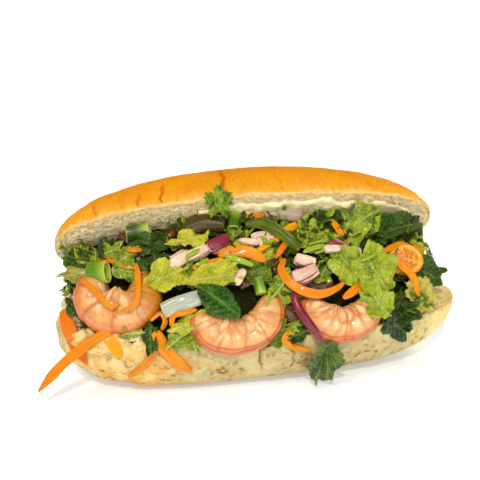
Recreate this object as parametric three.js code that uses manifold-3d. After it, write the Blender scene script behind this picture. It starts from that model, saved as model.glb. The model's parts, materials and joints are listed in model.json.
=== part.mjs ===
// Prawn banh mi: a soft golden roll, slit along one side and hinged at the back, packed with
// salad, three prawns, shredded carrot, onion, scallion and herbs.
// Millimetres, +Z up, origin at the centre of the roll's flat underside, +X along the roll,
// the open mouth of the roll faces -Y and upwards.

import * as THREE from 'three';
import { mergeVertices } from 'three/addons/utils/BufferGeometryUtils.js';
import Module from 'manifold-3d';

// Driving dimensions of the roll
const halfWidth = 37; // from the middle line to the side of either half
const cutHeight = 32; // height of the lower half's cut face
const lowerDepth = 33; // crust below the cut; what would sink under the table is flat
const lowerSlope = 0.01; // the lower half is this much deeper per millimetre to the left
const heelShare = 0.2; // its back is this share deeper, so it stands on a broad flat
const upperDepth = 35.5; // crown of the upper half above its cut face
const lowerEnds = [-103, 103.5];
const upperEnds = [-100.5, 95];
const hingeLine = 34; // the upper half turns about a line this far behind the middle
const openAngle = THREE.MathUtils.degToRad(60);
const endLift = 8; // the ends of the upper half spring away from the hinge
const crumbRelief = 0.5; // height of the crumb's unevenness on the cut faces
const crustRelief = 0.5; // depth of the crust's dimples
const webReach = [-92, 88]; // the uncut strip of crumb that joins the halves at the back

// Clearances and wall sizes
const gap = 0.35; // between neighbouring pieces
const leafThick = 1.1;
const carrotThick = 2.1;
const prawnSides = 8;
const lipLevel = -33; // a prawn that reaches below this hangs straight down over the lower rim

// Sections are rounded by superellipses with this power
const sectionPower = 2.5;

// The mouth: a plane through the front rims of the two halves
const mouthHalf = (halfWidth + hingeLine) / 2;
const mouthUp = new THREE.Vector3(0, Math.cos(openAngle), Math.sin(openAngle));
const mouthOut = new THREE.Vector3(0, -Math.sin(openAngle), Math.cos(openAngle));
const mouthCentre = new THREE.Vector3(0, -halfWidth, cutHeight).addScaledVector(mouthUp, mouthHalf);

const { Manifold, Mesh: SolidMesh } = await loadSolids();

async function loadSolids() {
  const library = await Module();
  library.setup();
  return library;
}

// Finishes

function finish(colour, roughness) {
  return new THREE.MeshStandardMaterial({ color: colour, roughness, metalness: 0 });
}

const finishes = {
  bread: finish('#d9a24a', 0.75),
  mayonnaise: finish('#f0e6c0', 0.35),
  salad: finish('#5f8f2a', 0.5),
  lettuce: finish('#8fbf3f', 0.45),
  herb: finish('#2f6b2c', 0.5),
  prawn: finish('#f0a878', 0.35),
  carrot: finish('#f28c1e', 0.45),
  scallion: finish('#6fae3a', 0.4),
  onion: finish('#e0b8b8', 0.4),
  redOnion: finish('#8e2550', 0.35),
  daikon: finish('#dfe4dc', 0.4),
  pepper: finish('#7d7a2a', 0.35),
  chilli: finish('#4f8a2c', 0.35),
  mushroom: finish('#b8aaa0', 0.5),
  tomato: finish('#e8841c', 0.3),
};

// Solids from rings and sheets

// A closed solid from a list of corner points and triangles, turned right side out.
function solidFrom(points, triangles) {
  let volume = 0;
  for (const [a, b, c] of triangles) {
    volume += points[a].dot(new THREE.Vector3().crossVectors(points[b], points[c]));
  }
  const faces = volume < 0 ? triangles.map(([a, b, c]) => [a, c, b]) : triangles;
  return new Manifold(new SolidMesh({
    numProp: 3,
    vertProperties: new Float32Array(points.flatMap((point) => point.toArray())),
    triVerts: new Uint32Array(faces.flat()),
  }));
}

// Rings of equal length are skinned one to the next and both ends are closed by a fan.
function loft(rings) {
  const count = rings[0].length;
  const points = rings.flat();
  const triangles = [];
  for (let row = 0; row + 1 < rings.length; row += 1) {
    for (let side = 0; side < count; side += 1) {
      const next = (side + 1) % count;
      const a = row * count + side;
      const b = row * count + next;
      triangles.push([a, b, b + count], [a, b + count, a + count]);
    }
  }
  for (const [ring, flip] of [[0, false], [rings.length - 1, true]]) {
    const middle = new THREE.Vector3();
    rings[ring].forEach((point) => middle.addScaledVector(point, 1 / count));
    const hub = points.push(middle) - 1;
    for (let side = 0; side < count; side += 1) {
      const a = ring * count + side;
      const b = ring * count + ((side + 1) % count);
      triangles.push(flip ? [hub, a, b] : [hub, b, a]);
    }
  }
  return solidFrom(points, triangles);
}

// A ring-shaped solid: the last ring is skinned back to the first.
function closedLoop(rings) {
  const count = rings[0].length;
  const points = rings.flat();
  const triangles = [];
  rings.forEach((ring, row) => {
    const nextRow = (row + 1) % rings.length;
    for (let side = 0; side < count; side += 1) {
      const next = (side + 1) % count;
      const a = row * count + side;
      const b = row * count + next;
      const c = nextRow * count + next;
      const d = nextRow * count + side;
      triangles.push([a, b, c], [a, c, d]);
    }
  });
  return solidFrom(points, triangles);
}

function biggestPiece(solid) {
  const pieces = solid.decompose();
  return pieces.reduce((best, piece) => (piece.volume() > best.volume() ? piece : best));
}

// A small repeatable unevenness between -1 and 1
function uneven(a, b) {
  const ripple = Math.sin(0.41 * a + 1.3 * Math.sin(0.23 * b));
  const crossRipple = Math.sin(0.37 * b + 0.9 * Math.cos(0.31 * a));
  return (ripple + crossRipple) / 2;
}

// The roll

// How much of its full size the roll has at a station, from 1 in the middle to 0 at the ends
function fullness(along, ends, leftPower, rightPower, roundness) {
  const middle = (ends[0] + ends[1]) / 2;
  const share = (along - middle) / ((ends[1] - ends[0]) / 2);
  const power = share < 0 ? leftPower : rightPower;
  return Math.max(1 - Math.abs(share) ** power, 0) ** (1 / roundness);
}

function lowerHalfSize(along) {
  return {
    width: halfWidth * fullness(along, lowerEnds, 3.2, 2.6, 2.2),
    depth: (lowerDepth - lowerSlope * along) * fullness(along, lowerEnds, 4.2, 3.1, 2.1),
  };
}

function upperHalfSize(along) {
  const middle = (upperEnds[0] + upperEnds[1]) / 2;
  const share = (along - middle) / ((upperEnds[1] - upperEnds[0]) / 2);
  return {
    width: halfWidth * fullness(along, upperEnds, 2.3, 2.3, 2),
    depth: upperDepth * fullness(along, upperEnds, 2.2, 1.9, 1.9),
    spring: endLift * Math.abs(share) ** 3,
  };
}

// A point on the upper half: across from front (+) to back (-), and height above its cut face
function upperPoint(along, across, height, spring) {
  const reach = hingeLine + across + spring;
  return new THREE.Vector3(
    along,
    hingeLine - reach * Math.cos(openAngle) + height * Math.sin(openAngle),
    cutHeight + reach * Math.sin(openAngle) + height * Math.cos(openAngle),
  );
}

// One section of a half: the cut face from front to back, then the crust back to the front.
// Gives [across, depth behind the cut face] pairs, depth is negative where the crumb stands up.
function halfSection(along, size, grow, cutSteps, crustSteps) {
  const width = size.width + grow;
  const depth = size.depth + grow;
  const section = [];
  for (let step = 0; step <= cutSteps; step += 1) {
    const across = width * (1 - (2 * step) / cutSteps);
    const inside = step > 0 && step < cutSteps;
    const relief = inside ? crumbRelief * uneven(along * 1.7, across * 2.3) : 0;
    section.push([across, -grow - relief]);
  }
  for (let step = 1; step < crustSteps; step += 1) {
    const angle = Math.PI * (step / crustSteps);
    const across = -width * Math.sign(Math.cos(angle)) * Math.abs(Math.cos(angle)) ** (2 / sectionPower);
    const dimple = crustRelief * Math.max(uneven(along, across), 0) * Math.abs(Math.cos(angle));
    section.push([across, (depth - dimple) * Math.sin(angle) ** (2 / sectionPower)]);
  }
  return section;
}

// Stations crowd towards the ends, where the roll rounds off
function stations(ends, count) {
  const middle = (ends[0] + ends[1]) / 2;
  const half = (ends[1] - ends[0]) / 2;
  const list = [];
  for (let step = 0; step < count; step += 1) {
    const share = Math.sin((Math.PI / 2) * 0.965 * ((2 * step) / (count - 1) - 1));
    list.push(middle + half * share);
  }
  return list;
}

function lowerHalf(grow) {
  return loft(stations(lowerEnds, 23).map((along) => {
    const section = halfSection(along, lowerHalfSize(along), grow, 6, 12);
    return section.map(([across, depth]) => {
      const heel = 1 + heelShare * Math.max(-across / halfWidth, 0);
      return new THREE.Vector3(along, -across, Math.max(cutHeight - depth * heel, -grow));
    });
  }));
}

function upperHalf(grow) {
  return loft(stations(upperEnds, 23).map((along) => {
    const size = upperHalfSize(along);
    const section = halfSection(along, size, grow, 6, 12);
    return section.map(([across, depth]) => upperPoint(along, across, depth, size.spring));
  }));
}

// The uncut crumb and crust at the back, an oval bar that bridges the two halves
function hingeWeb(grow) {
  const rings = [];
  const count = 11;
  for (let step = 0; step < count; step += 1) {
    const along = webReach[0] + ((webReach[1] - webReach[0]) * step) / (count - 1);
    const upper = upperHalfSize(along);
    const low = new THREE.Vector3(along, lowerHalfSize(along).width - 7, cutHeight - 4);
    const high = upperPoint(along, 7 - upper.width, 4, upper.spring);
    const middle = low.clone().lerp(high, 0.5);
    const rise = high.clone().sub(low);
    const major = rise.length() / 2 + 6 + grow;
    const minor = 5.5 + grow;
    rise.normalize();
    const aside = new THREE.Vector3(1, 0, 0).cross(rise);
    const ring = [];
    for (let side = 0; side < 10; side += 1) {
      const angle = (2 * Math.PI * side) / 10;
      const point = middle.clone().addScaledVector(rise, major * Math.cos(angle));
      ring.push(point.addScaledVector(aside, minor * Math.sin(angle)));
    }
    rings.push(ring);
  }
  return loft(rings);
}

function rollSolid(grow) {
  return lowerHalf(grow).add(upperHalf(grow)).add(hingeWeb(grow));
}

// The heap that fills the mouth

// Where the two cut faces meet the mouth plane at a station, as [up, out]
function mouthRims(along) {
  const lower = new THREE.Vector3(0, -lowerHalfSize(along).width, cutHeight).sub(mouthCentre);
  const size = upperHalfSize(along);
  const upper = upperPoint(0, size.width, 0, size.spring).sub(mouthCentre);
  return {
    low: [lower.dot(mouthUp), lower.dot(mouthOut)],
    high: [upper.dot(mouthUp), upper.dot(mouthOut)],
  };
}

const heapBulge = 6; // how far the filling swells out of the mouth in the middle
const heapSetback = 16; // how far it lies behind the upper rim
const heapBack = -52; // where it meets the hinge
const coreEnds = [-92, 85];
const coreRise = 0.2; // the packed core swells this much past the heap's surface
const coreLumps = 0.8;

// Height of the heap out of the mouth plane, from the lower rim up to under the upper half
function heapSurface(along, up) {
  const { low, high } = mouthRims(along);
  const share = THREE.MathUtils.clamp((up - low[0]) / (high[0] - low[0]), 0, 1);
  const level = THREE.MathUtils.lerp(low[1] + 1, high[1] - heapSetback, share ** 1.3);
  return level + heapBulge * Math.sin(Math.PI * share) * (1 - (along / 100) ** 2);
}

// A place on the filling: along the roll, up across the mouth, and lift off the heap.
// Below the lower rim, up keeps counting down the front of the crust, millimetre by millimetre.
function place([along, up, lift]) {
  const station = THREE.MathUtils.clamp(along, -99, 94);
  const { low } = mouthRims(station);
  if (up >= low[0]) {
    const out = heapSurface(station, up) + lift;
    const point = mouthCentre.clone().addScaledVector(mouthUp, up).addScaledVector(mouthOut, out);
    return { point: point.setX(along), normal: mouthOut.clone() };
  }
  const size = lowerHalfSize(station);
  const drop = low[0] - up;
  const share = Math.min(drop / size.depth, 0.995);
  const side = -size.width * (1 - share ** sectionPower) ** (1 / sectionPower);
  const slope = new THREE.Vector3(
    0,
    -(Math.abs(side / size.width) ** (sectionPower - 1)) / size.width,
    -(share ** (sectionPower - 1)) / size.depth,
  ).normalize();
  const turned = Math.min(drop / 6, 1);
  const normal = mouthOut.clone().lerp(slope, turned).normalize();
  const point = new THREE.Vector3(along, side, cutHeight - drop).addScaledVector(normal, lift);
  return { point, normal };
}

function smoothRoute(points, count) {
  const curve = new THREE.CatmullRomCurve3(points.map((point) => new THREE.Vector3(...point)));
  return curve.getPoints(count - 1);
}

// Frames along a route: where it is, which way it runs, its side and its outward normal.
// A free route is given as [x, y, z] instead, for a piece that pokes out clear of the roll.
function routeFrames(route, count, free = false) {
  const places = smoothRoute(route, count).map((spot) => (
    free ? { point: spot, normal: mouthOut.clone() } : place(spot.toArray())
  ));
  return places.map(({ point, normal }, index) => {
    const before = places[Math.max(index - 1, 0)].point;
    const after = places[Math.min(index + 1, places.length - 1)].point;
    const ahead = after.clone().sub(before).normalize();
    const side = ahead.clone().cross(normal).normalize();
    return { point, side, out: side.clone().cross(ahead).normalize() };
  });
}

// A strip of vegetable along a route. Its width narrows at the ends as taper says and
// lean turns its flat side out of the heap, in degrees.
function strip({
  route, width, thick = carrotThick, steps = 9, taper = [0.5, 0.4], lean = 0, free = false,
}) {
  return (grow) => {
    const angle = THREE.MathUtils.degToRad(lean);
    const rings = routeFrames(route, steps, free).map(({ point, side, out }, index) => {
      const share = index / (steps - 1);
      const ease = Math.min(share / 0.3, 1, (1 - share) / 0.4);
      const end = share < 0.5 ? taper[0] : taper[1];
      const half = (width * (end + (1 - end) * Math.max(ease, 0))) / 2 + grow;
      const flat = side.clone().multiplyScalar(Math.cos(angle)).addScaledVector(out, Math.sin(angle));
      const rise = out.clone().multiplyScalar(Math.cos(angle)).addScaledVector(side, -Math.sin(angle));
      const tall = thick / 2 + grow;
      return [[-1, -1], [1, -1], [0.85, 1], [-0.85, 1]].map(([a, b]) => (
        point.clone().addScaledVector(flat, a * half).addScaledVector(rise, b * tall)
      ));
    });
    return loft(rings);
  };
}

// A cut chunk, such as onion: a short thick strip
function chunk({ route, width, thick = 3, taper = [0.8, 0.7], lean = 0 }) {
  return strip({ route, width, thick, steps: 4, taper, lean });
}

// A leaf lies at a place with its tip towards heading. lobes notch its edge, wave ripples it,
// cup curls its edge up, tilt lifts its tip and roll lifts its side. Degrees and millimetres.
function leaf({
  at, heading = 0, length, width, lobes = 5, notch = 0.16, wave = 1.4, cup = 1.5, tilt = 0, roll = 0,
  thick = leafThick, sectors = 12, rings = [0.5, 1],
}) {
  return (grow) => {
    const { point, normal } = place(at);
    const nearby = place([at[0], at[1] + 0.5, at[2]]).point;
    const climb = nearby.sub(point).normalize();
    const across = climb.clone().cross(normal).normalize();
    const radians = THREE.MathUtils.degToRad;
    const ahead = across.clone().multiplyScalar(Math.cos(radians(heading)));
    ahead.addScaledVector(climb, Math.sin(radians(heading)));
    const out = across.clone().cross(climb).normalize();
    if (out.dot(normal) < 0) out.negate();
    const side = out.clone().cross(ahead).normalize();
    ahead.applyAxisAngle(side, radians(-tilt));
    out.applyAxisAngle(side, radians(-tilt));
    side.applyAxisAngle(ahead, radians(roll));
    out.applyAxisAngle(ahead, radians(roll));
    const spot = (ring, sector) => {
      const angle = (2 * Math.PI * sector) / sectors;
      const edge = 1 + notch * Math.cos(lobes * angle);
      const reach = ring * edge;
      const height = wave * Math.sin(3 * angle + at[0]) * ring ** 2 + cup * ring ** 2;
      const margin = ring > 0.9 ? grow : 0;
      return point.clone()
        .addScaledVector(ahead, Math.cos(angle) * ((length / 2) * reach + margin))
        .addScaledVector(side, Math.sin(angle) * ((width / 2) * reach + margin))
        .addScaledVector(out, height);
    };
    const half = thick / 2 + grow;
    const points = [];
    const triangles = [];
    const faceSize = 1 + rings.length * sectors;
    for (const face of [1, -1]) {
      points.push(spot(0, 0).addScaledVector(out, face * half));
      for (const ring of rings) {
        for (let sector = 0; sector < sectors; sector += 1) {
          points.push(spot(ring, sector).addScaledVector(out, face * half));
        }
      }
    }
    for (let sector = 0; sector < sectors; sector += 1) {
      const next = (sector + 1) % sectors;
      const faces = [[0, 1 + sector, 1 + next]];
      for (let ring = 1; ring < rings.length; ring += 1) {
        const inner = 1 + (ring - 1) * sectors;
        const outer = inner + sectors;
        faces.push([inner + sector, outer + sector, outer + next]);
        faces.push([inner + sector, outer + next, inner + next]);
      }
      for (const [a, b, c] of faces) {
        triangles.push([a, b, c], [faceSize + a, faceSize + c, faceSize + b]);
      }
      const edge = 1 + (rings.length - 1) * sectors;
      const [a, b] = [edge + sector, edge + next];
      triangles.push([a, faceSize + a, faceSize + b], [a, faceSize + b, b]);
    }
    return solidFrom(points, triangles);
  };
}

// A prawn curled in an open C round a middle. The tail end is slimmer, and the shell's
// segments stand up as low rings.
function prawn({ middle, reach, turn, body, tail, depth, lift, segments = 6 }) {
  return (grow) => {
    const steps = segments * 3 + 1;
    const route = [];
    for (let step = 0; step < steps; step += 1) {
      const angle = THREE.MathUtils.degToRad(THREE.MathUtils.lerp(turn[0], turn[1], step / (steps - 1)));
      route.push([middle[0] + reach[0] * Math.cos(angle), middle[1] + reach[1] * Math.sin(angle), lift]);
    }
    const level = place([middle[0], middle[1] - reach[1], lift]).normal;
    const centres = route.map(([along, up, rise]) => {
      const hang = Math.min(up - lipLevel, 0);
      return place([along, Math.max(up, lipLevel), rise]).point.addScaledVector(mouthUp, hang);
    });
    const rings = centres.map((point, index) => {
      const share = index / (steps - 1);
      const before = centres[Math.max(index - 1, 0)];
      const after = centres[Math.min(index + 1, steps - 1)];
      const ahead = after.clone().sub(before).normalize();
      const side = ahead.clone().cross(level).normalize();
      const out = side.clone().cross(ahead).normalize();
      const ridge = index % 3 === 1 ? 1.05 : 0.97;
      const rounded = Math.sqrt(Math.max(1 - (2 * share - 1) ** 8, 0.12));
      const radius = THREE.MathUtils.lerp(body, tail, share) * ridge * rounded + grow;
      const ring = [];
      for (let sideStep = 0; sideStep < prawnSides; sideStep += 1) {
        const angle = (2 * Math.PI * sideStep) / prawnSides;
        const spot = point.clone().addScaledVector(side, radius * Math.cos(angle));
        ring.push(spot.addScaledVector(out, radius * depth * Math.sin(angle)));
      }
      return ring;
    });
    return loft(rings);
  };
}

// A hollow slice of scallion: a short tube along a route
function tube({ route, radius, wall = 1.3, sides = 10 }) {
  return (grow) => {
    const [start, , end] = routeFrames(route, 3);
    const ahead = end.point.clone().sub(start.point).normalize();
    const mouthEnd = start.point.clone().addScaledVector(ahead, -grow);
    const farEnd = end.point.clone().addScaledVector(ahead, grow);
    const circle = (centre, size) => {
      const ring = [];
      for (let side = 0; side < sides; side += 1) {
        const angle = (2 * Math.PI * side) / sides;
        const spot = centre.clone().addScaledVector(start.side, size * Math.cos(angle));
        ring.push(spot.addScaledVector(start.out, size * Math.sin(angle)));
      }
      return ring;
    };
    const outer = radius + grow;
    const inner = radius - wall - grow;
    return closedLoop([
      circle(mouthEnd, outer), circle(farEnd, outer), circle(farEnd, inner), circle(mouthEnd, inner),
    ]);
  };
}

// A wedge of tomato: its skin is a curved outer face and its two cut faces meet at the core
function wedge({ at, heading, length, width, depth }) {
  return (grow) => {
    const { point, normal } = place(at);
    const climb = mouthUp.clone();
    const ahead = new THREE.Vector3(1, 0, 0).applyAxisAngle(normal, THREE.MathUtils.degToRad(heading));
    const side = normal.clone().cross(ahead).normalize();
    if (side.dot(climb) < 0) side.negate();
    const rings = [];
    for (let step = 0; step <= 6; step += 1) {
      const share = (2 * step) / 6 - 1;
      const round = Math.sqrt(Math.max(1 - share ** 2, 0.08));
      const ring = [];
      for (let corner = 0; corner < 8; corner += 1) {
        const angle = (2 * Math.PI * corner) / 8;
        const flatten = Math.sin(angle) > 0.1 ? 1 : 0.55;
        const centre = point.clone().addScaledVector(ahead, share * (length / 2 + grow));
        centre.addScaledVector(side, (width / 2 + grow) * round * Math.cos(angle));
        ring.push(centre.addScaledVector(normal, (depth / 2 + grow) * round * flatten * Math.sin(angle)));
      }
      rings.push(ring);
    }
    return loft(rings);
  };
}

// The pieces. Places and routes are [along, up, lift] in millimetres.

const prawns = {
  shrimp_left: {
    middle: [-72, -8], reach: [13.5, 10],
    turn: [165, 385], body: 8.5, tail: 7, depth: 0.74, lift: 1.5,
  },
  shrimp_middle: {
    middle: [-16, -21.5], reach: [16.5, 12.5],
    turn: [172, 392], body: 9, tail: 7, depth: 0.74, lift: 1,
  },
  shrimp_right: {
    middle: [37, -22], reach: [14, 11],
    turn: [158, 385], body: 8.5, tail: 7, depth: 0.74, lift: 1,
  },
};

const carrots = {
  carrot_strip_01: {
    width: 5,
    taper: [0.15, 0.9],
    free: true,
    route: [[-114, -32, 12], [-103, -31, 23.5], [-92, -30, 32], [-85, -29.5, 36.5], [-77, -29.5, 40.5]],
  },
  carrot_strip_02: {
    width: 7, taper: [0.5, 0.35],
    route: [[-99, -11, 3], [-97, -20, 2.5], [-94, -29, 2], [-89, -40, 2]],
  },
  carrot_strip_03: {
    width: 6, taper: [0.9, 0.3],
    route: [[-79, -27, 2], [-76, -32, 2], [-73, -38, 1.8]],
  },
  carrot_strip_04: {
    width: 3.5,
    route: [[-57, -34, 1.8], [-58, -38, 1.8], [-62, -43, 1.6], [-66, -47, 1.6], [-70, -50, 1.5]],
  },
  carrot_strip_05: {
    width: 6.5, taper: [0.7, 0.15],
    route: [[-56, -27, 2.5], [-53, -34, 2.2], [-47, -42, 2], [-39, -50, 1.6]],
  },
  carrot_strip_06: {
    width: 3, steps: 8, lean: 60,
    route: [[-58, -22, 3], [-53, -19, 5], [-51, -23, 5], [-53, -27, 3]],
  },
  carrot_strip_07: { width: 3, route: [[-48, -26, 3], [-47, -21, 5], [-43, -20, 6], [-35, -19, 5]] },
  carrot_strip_08: {
    width: 3,
    route: [[-89, 2, 9.5], [-84, -4, 10], [-80, -10, 10.5], [-76, -14, 10.5], [-72, -12, 10.5]],
  },
  carrot_strip_09: {
    width: 3,
    route: [[-62, 7, 5], [-62, 0, 9], [-63, -9, 10.8], [-65, -14, 10.8], [-69, -16, 11], [-74, -17, 11]],
  },
  carrot_strip_10: { width: 2.2, route: [[-80, 12, 3], [-74, 10, 4], [-69, 7, 5], [-62, 4, 4.5]] },
  carrot_strip_11: { width: 4.2, route: [[-35, 2, 3], [-27, 3, 4], [-19, 5, 4]] },
  carrot_strip_12: { width: 6, route: [[-22, 7, 4], [-14, 8.5, 6], [-6, 6.5, 6.5], [1, 2, 5]] },
  carrot_strip_13: {
    width: 4.5,
    route: [[-3, 7, 2.5], [4, 12, 3], [11, 15, 2.5], [17, 19, 2], [26, 22, 1.5]],
  },
  carrot_strip_14: {
    width: 3, taper: [0.8, 0.15], steps: 6,
    route: [[13, 11, 4], [9.5, 7.5, 5.5], [6, 3, 4.5]],
  },
  carrot_strip_15: {
    width: 4.5,
    route: [
      [11, 3, 2], [8, -3, 4.5], [11, -10, 7.5], [17, -15, 9.5], [25, -17, 10], [33, -15, 9.5], [38, -12, 7.5],
    ],
  },
  carrot_strip_16: { width: 4.5, steps: 6, route: [[49, -12, 5], [43, -16, 8], [36, -20, 9]] },
  carrot_strip_17: {
    width: 3.2, taper: [0.2, 0.6], steps: 7,
    route: [[38, 22, 4], [41, 15, 4.5], [44, 9, 3]],
  },
  carrot_strip_18: {
    width: 3, steps: 10,
    route: [[55, 6, 4], [62, 3, 6], [71, 6, 7], [78, 4, 6], [85, 2, 5], [89, -3, 3]],
  },
  carrot_strip_19: {
    width: 4, taper: [0.8, 0.3],
    route: [[64, 0, 8], [69, -5, 8.5], [74, -10, 8.5], [76, -16, 8], [77, -22, 6.5]],
  },
  carrot_strip_20: {
    width: 3.2,
    route: [[10, -32, 2.5], [6.5, -37, 2.5], [11, -40, 2.5], [20, -43, 2.5]],
  },
};

const scallions = {
  scallion_ring_1: { radius: 5, route: [[-85, 4, 3.5], [-80.5, 3.5, 3.5], [-76, 3, 3.5]] },
  scallion_ring_2: { radius: 3.8, route: [[-65, 23, 3], [-59, 23.5, 3], [-53, 24, 3]] },
  scallion_ring_3: { radius: 3.6, route: [[-12, 20, 2], [-11, 24, 2.5], [-10, 29, 3]] },
  scallion_ring_4: { radius: 3, route: [[-4, -6, 3], [-3.5, -10, 3], [-3, -14, 3]] },
};

const onions = {
  onion_piece_01: { colour: 'onion', width: 7, route: [[-46, 4, 3], [-41, 6.5, 4], [-36, 9, 3]] },
  onion_piece_02: { colour: 'onion', width: 6, route: [[-37, 8, 3], [-31, 10, 3.5], [-26, 12, 3]] },
  onion_piece_03: { colour: 'redOnion', width: 7, route: [[-26, 11, 5], [-21, 13, 5.5], [-16, 15, 5]] },
  onion_piece_04: { colour: 'onion', width: 4, route: [[-10, 13, 3.5], [-6, 12, 4], [-2, 11, 3.5]] },
  onion_piece_05: { colour: 'onion', width: 6, route: [[-3, 13, 3], [1, 14, 3], [6, 14, 3]] },
  onion_piece_06: { colour: 'onion', width: 6, route: [[16, 3, 5], [20, 1, 5.5], [25, 0, 5]] },
  onion_piece_07: { colour: 'onion', width: 8, route: [[13, -8, 5.5], [19, -6.5, 6], [25, -4, 5.5]] },
  onion_piece_08: { colour: 'redOnion', width: 6, route: [[35, 9, 3], [39, 7, 3.5], [44, 4, 3]] },
  onion_piece_09: { colour: 'onion', width: 4.5, route: [[31, 6, 5], [35, 6, 5.5], [39, 6, 5]] },
  onion_crescent: {
    colour: 'redOnion', width: 4, steps: 9, taper: [0.3, 0.3], lean: 35, thick: 2,
    route: [[12, -14, 5], [13, -21, 6], [17, -29, 7], [23, -38, 7]],
  },
};

const otherVegetables = {
  daikon_stick: {
    colour: 'daikon',
    level: 4.5,
    make: chunk({
      width: 8, thick: 4, taper: [0.9, 0.95],
      route: [[-52, -18, 4], [-42, -15, 5], [-33, -13, 5]],
    }),
  },
  stem_stick: {
    colour: 'scallion',
    level: 8,
    make: strip({
      width: 2.8, thick: 2.6, steps: 6, taper: [0.9, 0.7],
      route: [[-19, 6, 7.8], [-12, 3, 8.6], [-6, 0, 7.5]],
    }),
  },
  pepper_slice: {
    colour: 'pepper',
    level: 3,
    make: strip({
      width: 9, thick: 2.6, steps: 8, taper: [0.4, 0.8],
      route: [[-38, 21, 2], [-31, 24, 3], [-24, 25, 3.5], [-16, 23, 3]],
    }),
  },
  chilli_strip: {
    colour: 'chilli',
    level: 6,
    make: strip({
      width: 6, thick: 2.6, steps: 10, taper: [0.4, 0.3],
      route: [[-6, 22, 4], [2, 22, 5.5], [8, 18, 6.5], [14, 12, 7], [18, 6, 6]],
    }),
  },
  mushroom_slice: {
    colour: 'mushroom',
    level: 1.5,
    make: strip({
      width: 8, thick: 2.8, steps: 6, taper: [0.5, 0.8],
      route: [[5, 27, 1], [13, 28, 1.6], [24, 25, 1.6]],
    }),
  },
  tomato_wedge: {
    colour: 'tomato',
    level: 5,
    make: wedge({ at: [73, -2, 2.5], heading: -15, length: 17, width: 13, depth: 9 }),
  },
};

const looseLeaves = {
  mint_leaf: {
    colour: 'herb', at: [-25, -16, 10.5],
    heading: -42, length: 25, width: 15, lobes: 9, notch: 0.04, wave: 0.6, cup: -2,
  },
  cilantro_front: {
    colour: 'herb', at: [27, -48, 3],
    heading: -100, length: 25, width: 17, lobes: 5, notch: 0.2, wave: 1, cup: 0.5, tilt: 4,
  },
  lettuce_leaf_01: {
    colour: 'lettuce', at: [-26, -4, 5.5],
    heading: 5, length: 27, width: 14, wave: 1.6,
  },
  lettuce_leaf_02: {
    colour: 'lettuce', at: [-48, -1, 5],
    heading: 20, length: 22, width: 15, wave: 1.8, roll: 12,
  },
  lettuce_leaf_03: {
    colour: 'lettuce', at: [55, -7, 8],
    heading: -65, length: 24, width: 21, wave: 2, cup: 2.4,
  },
  lettuce_leaf_04: { colour: 'lettuce', at: [42, -4, 6], heading: 120, length: 22, width: 17, wave: 1.8 },
  lettuce_leaf_05: {
    colour: 'lettuce', at: [54, 20, 6],
    heading: 25, length: 23, width: 17, wave: 2, tilt: 12,
  },
  lettuce_leaf_06: {
    colour: 'herb', at: [69, 14, 5],
    heading: 8, length: 24, width: 13, wave: 1.6, cup: 3,
  },
  lettuce_leaf_07: {
    colour: 'lettuce', at: [86, -9, 4.5],
    heading: -35, length: 20, width: 13, wave: 1.4,
  },
  lettuce_leaf_08: {
    colour: 'lettuce', at: [82, -20, 6],
    heading: -60, length: 23, width: 15, lobes: 7, notch: 0.18,
  },
  lettuce_leaf_09: { colour: 'lettuce', at: [-35, 16, 5], heading: 15, length: 20, width: 12, roll: -20 },
  parsley_sprig: {
    colour: 'herb', at: [-19, 33.5, 16],
    heading: 85, length: 18, width: 14, lobes: 5, notch: 0.24, tilt: 45,
  },
  herb_leaf_01: { colour: 'lettuce', at: [54, -23, 8.5], heading: -55, length: 16, width: 12, lobes: 7 },
};

const heapLeafForm = { sectors: 8, rings: [1], wave: 0.8, cup: 0.4 };

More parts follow.
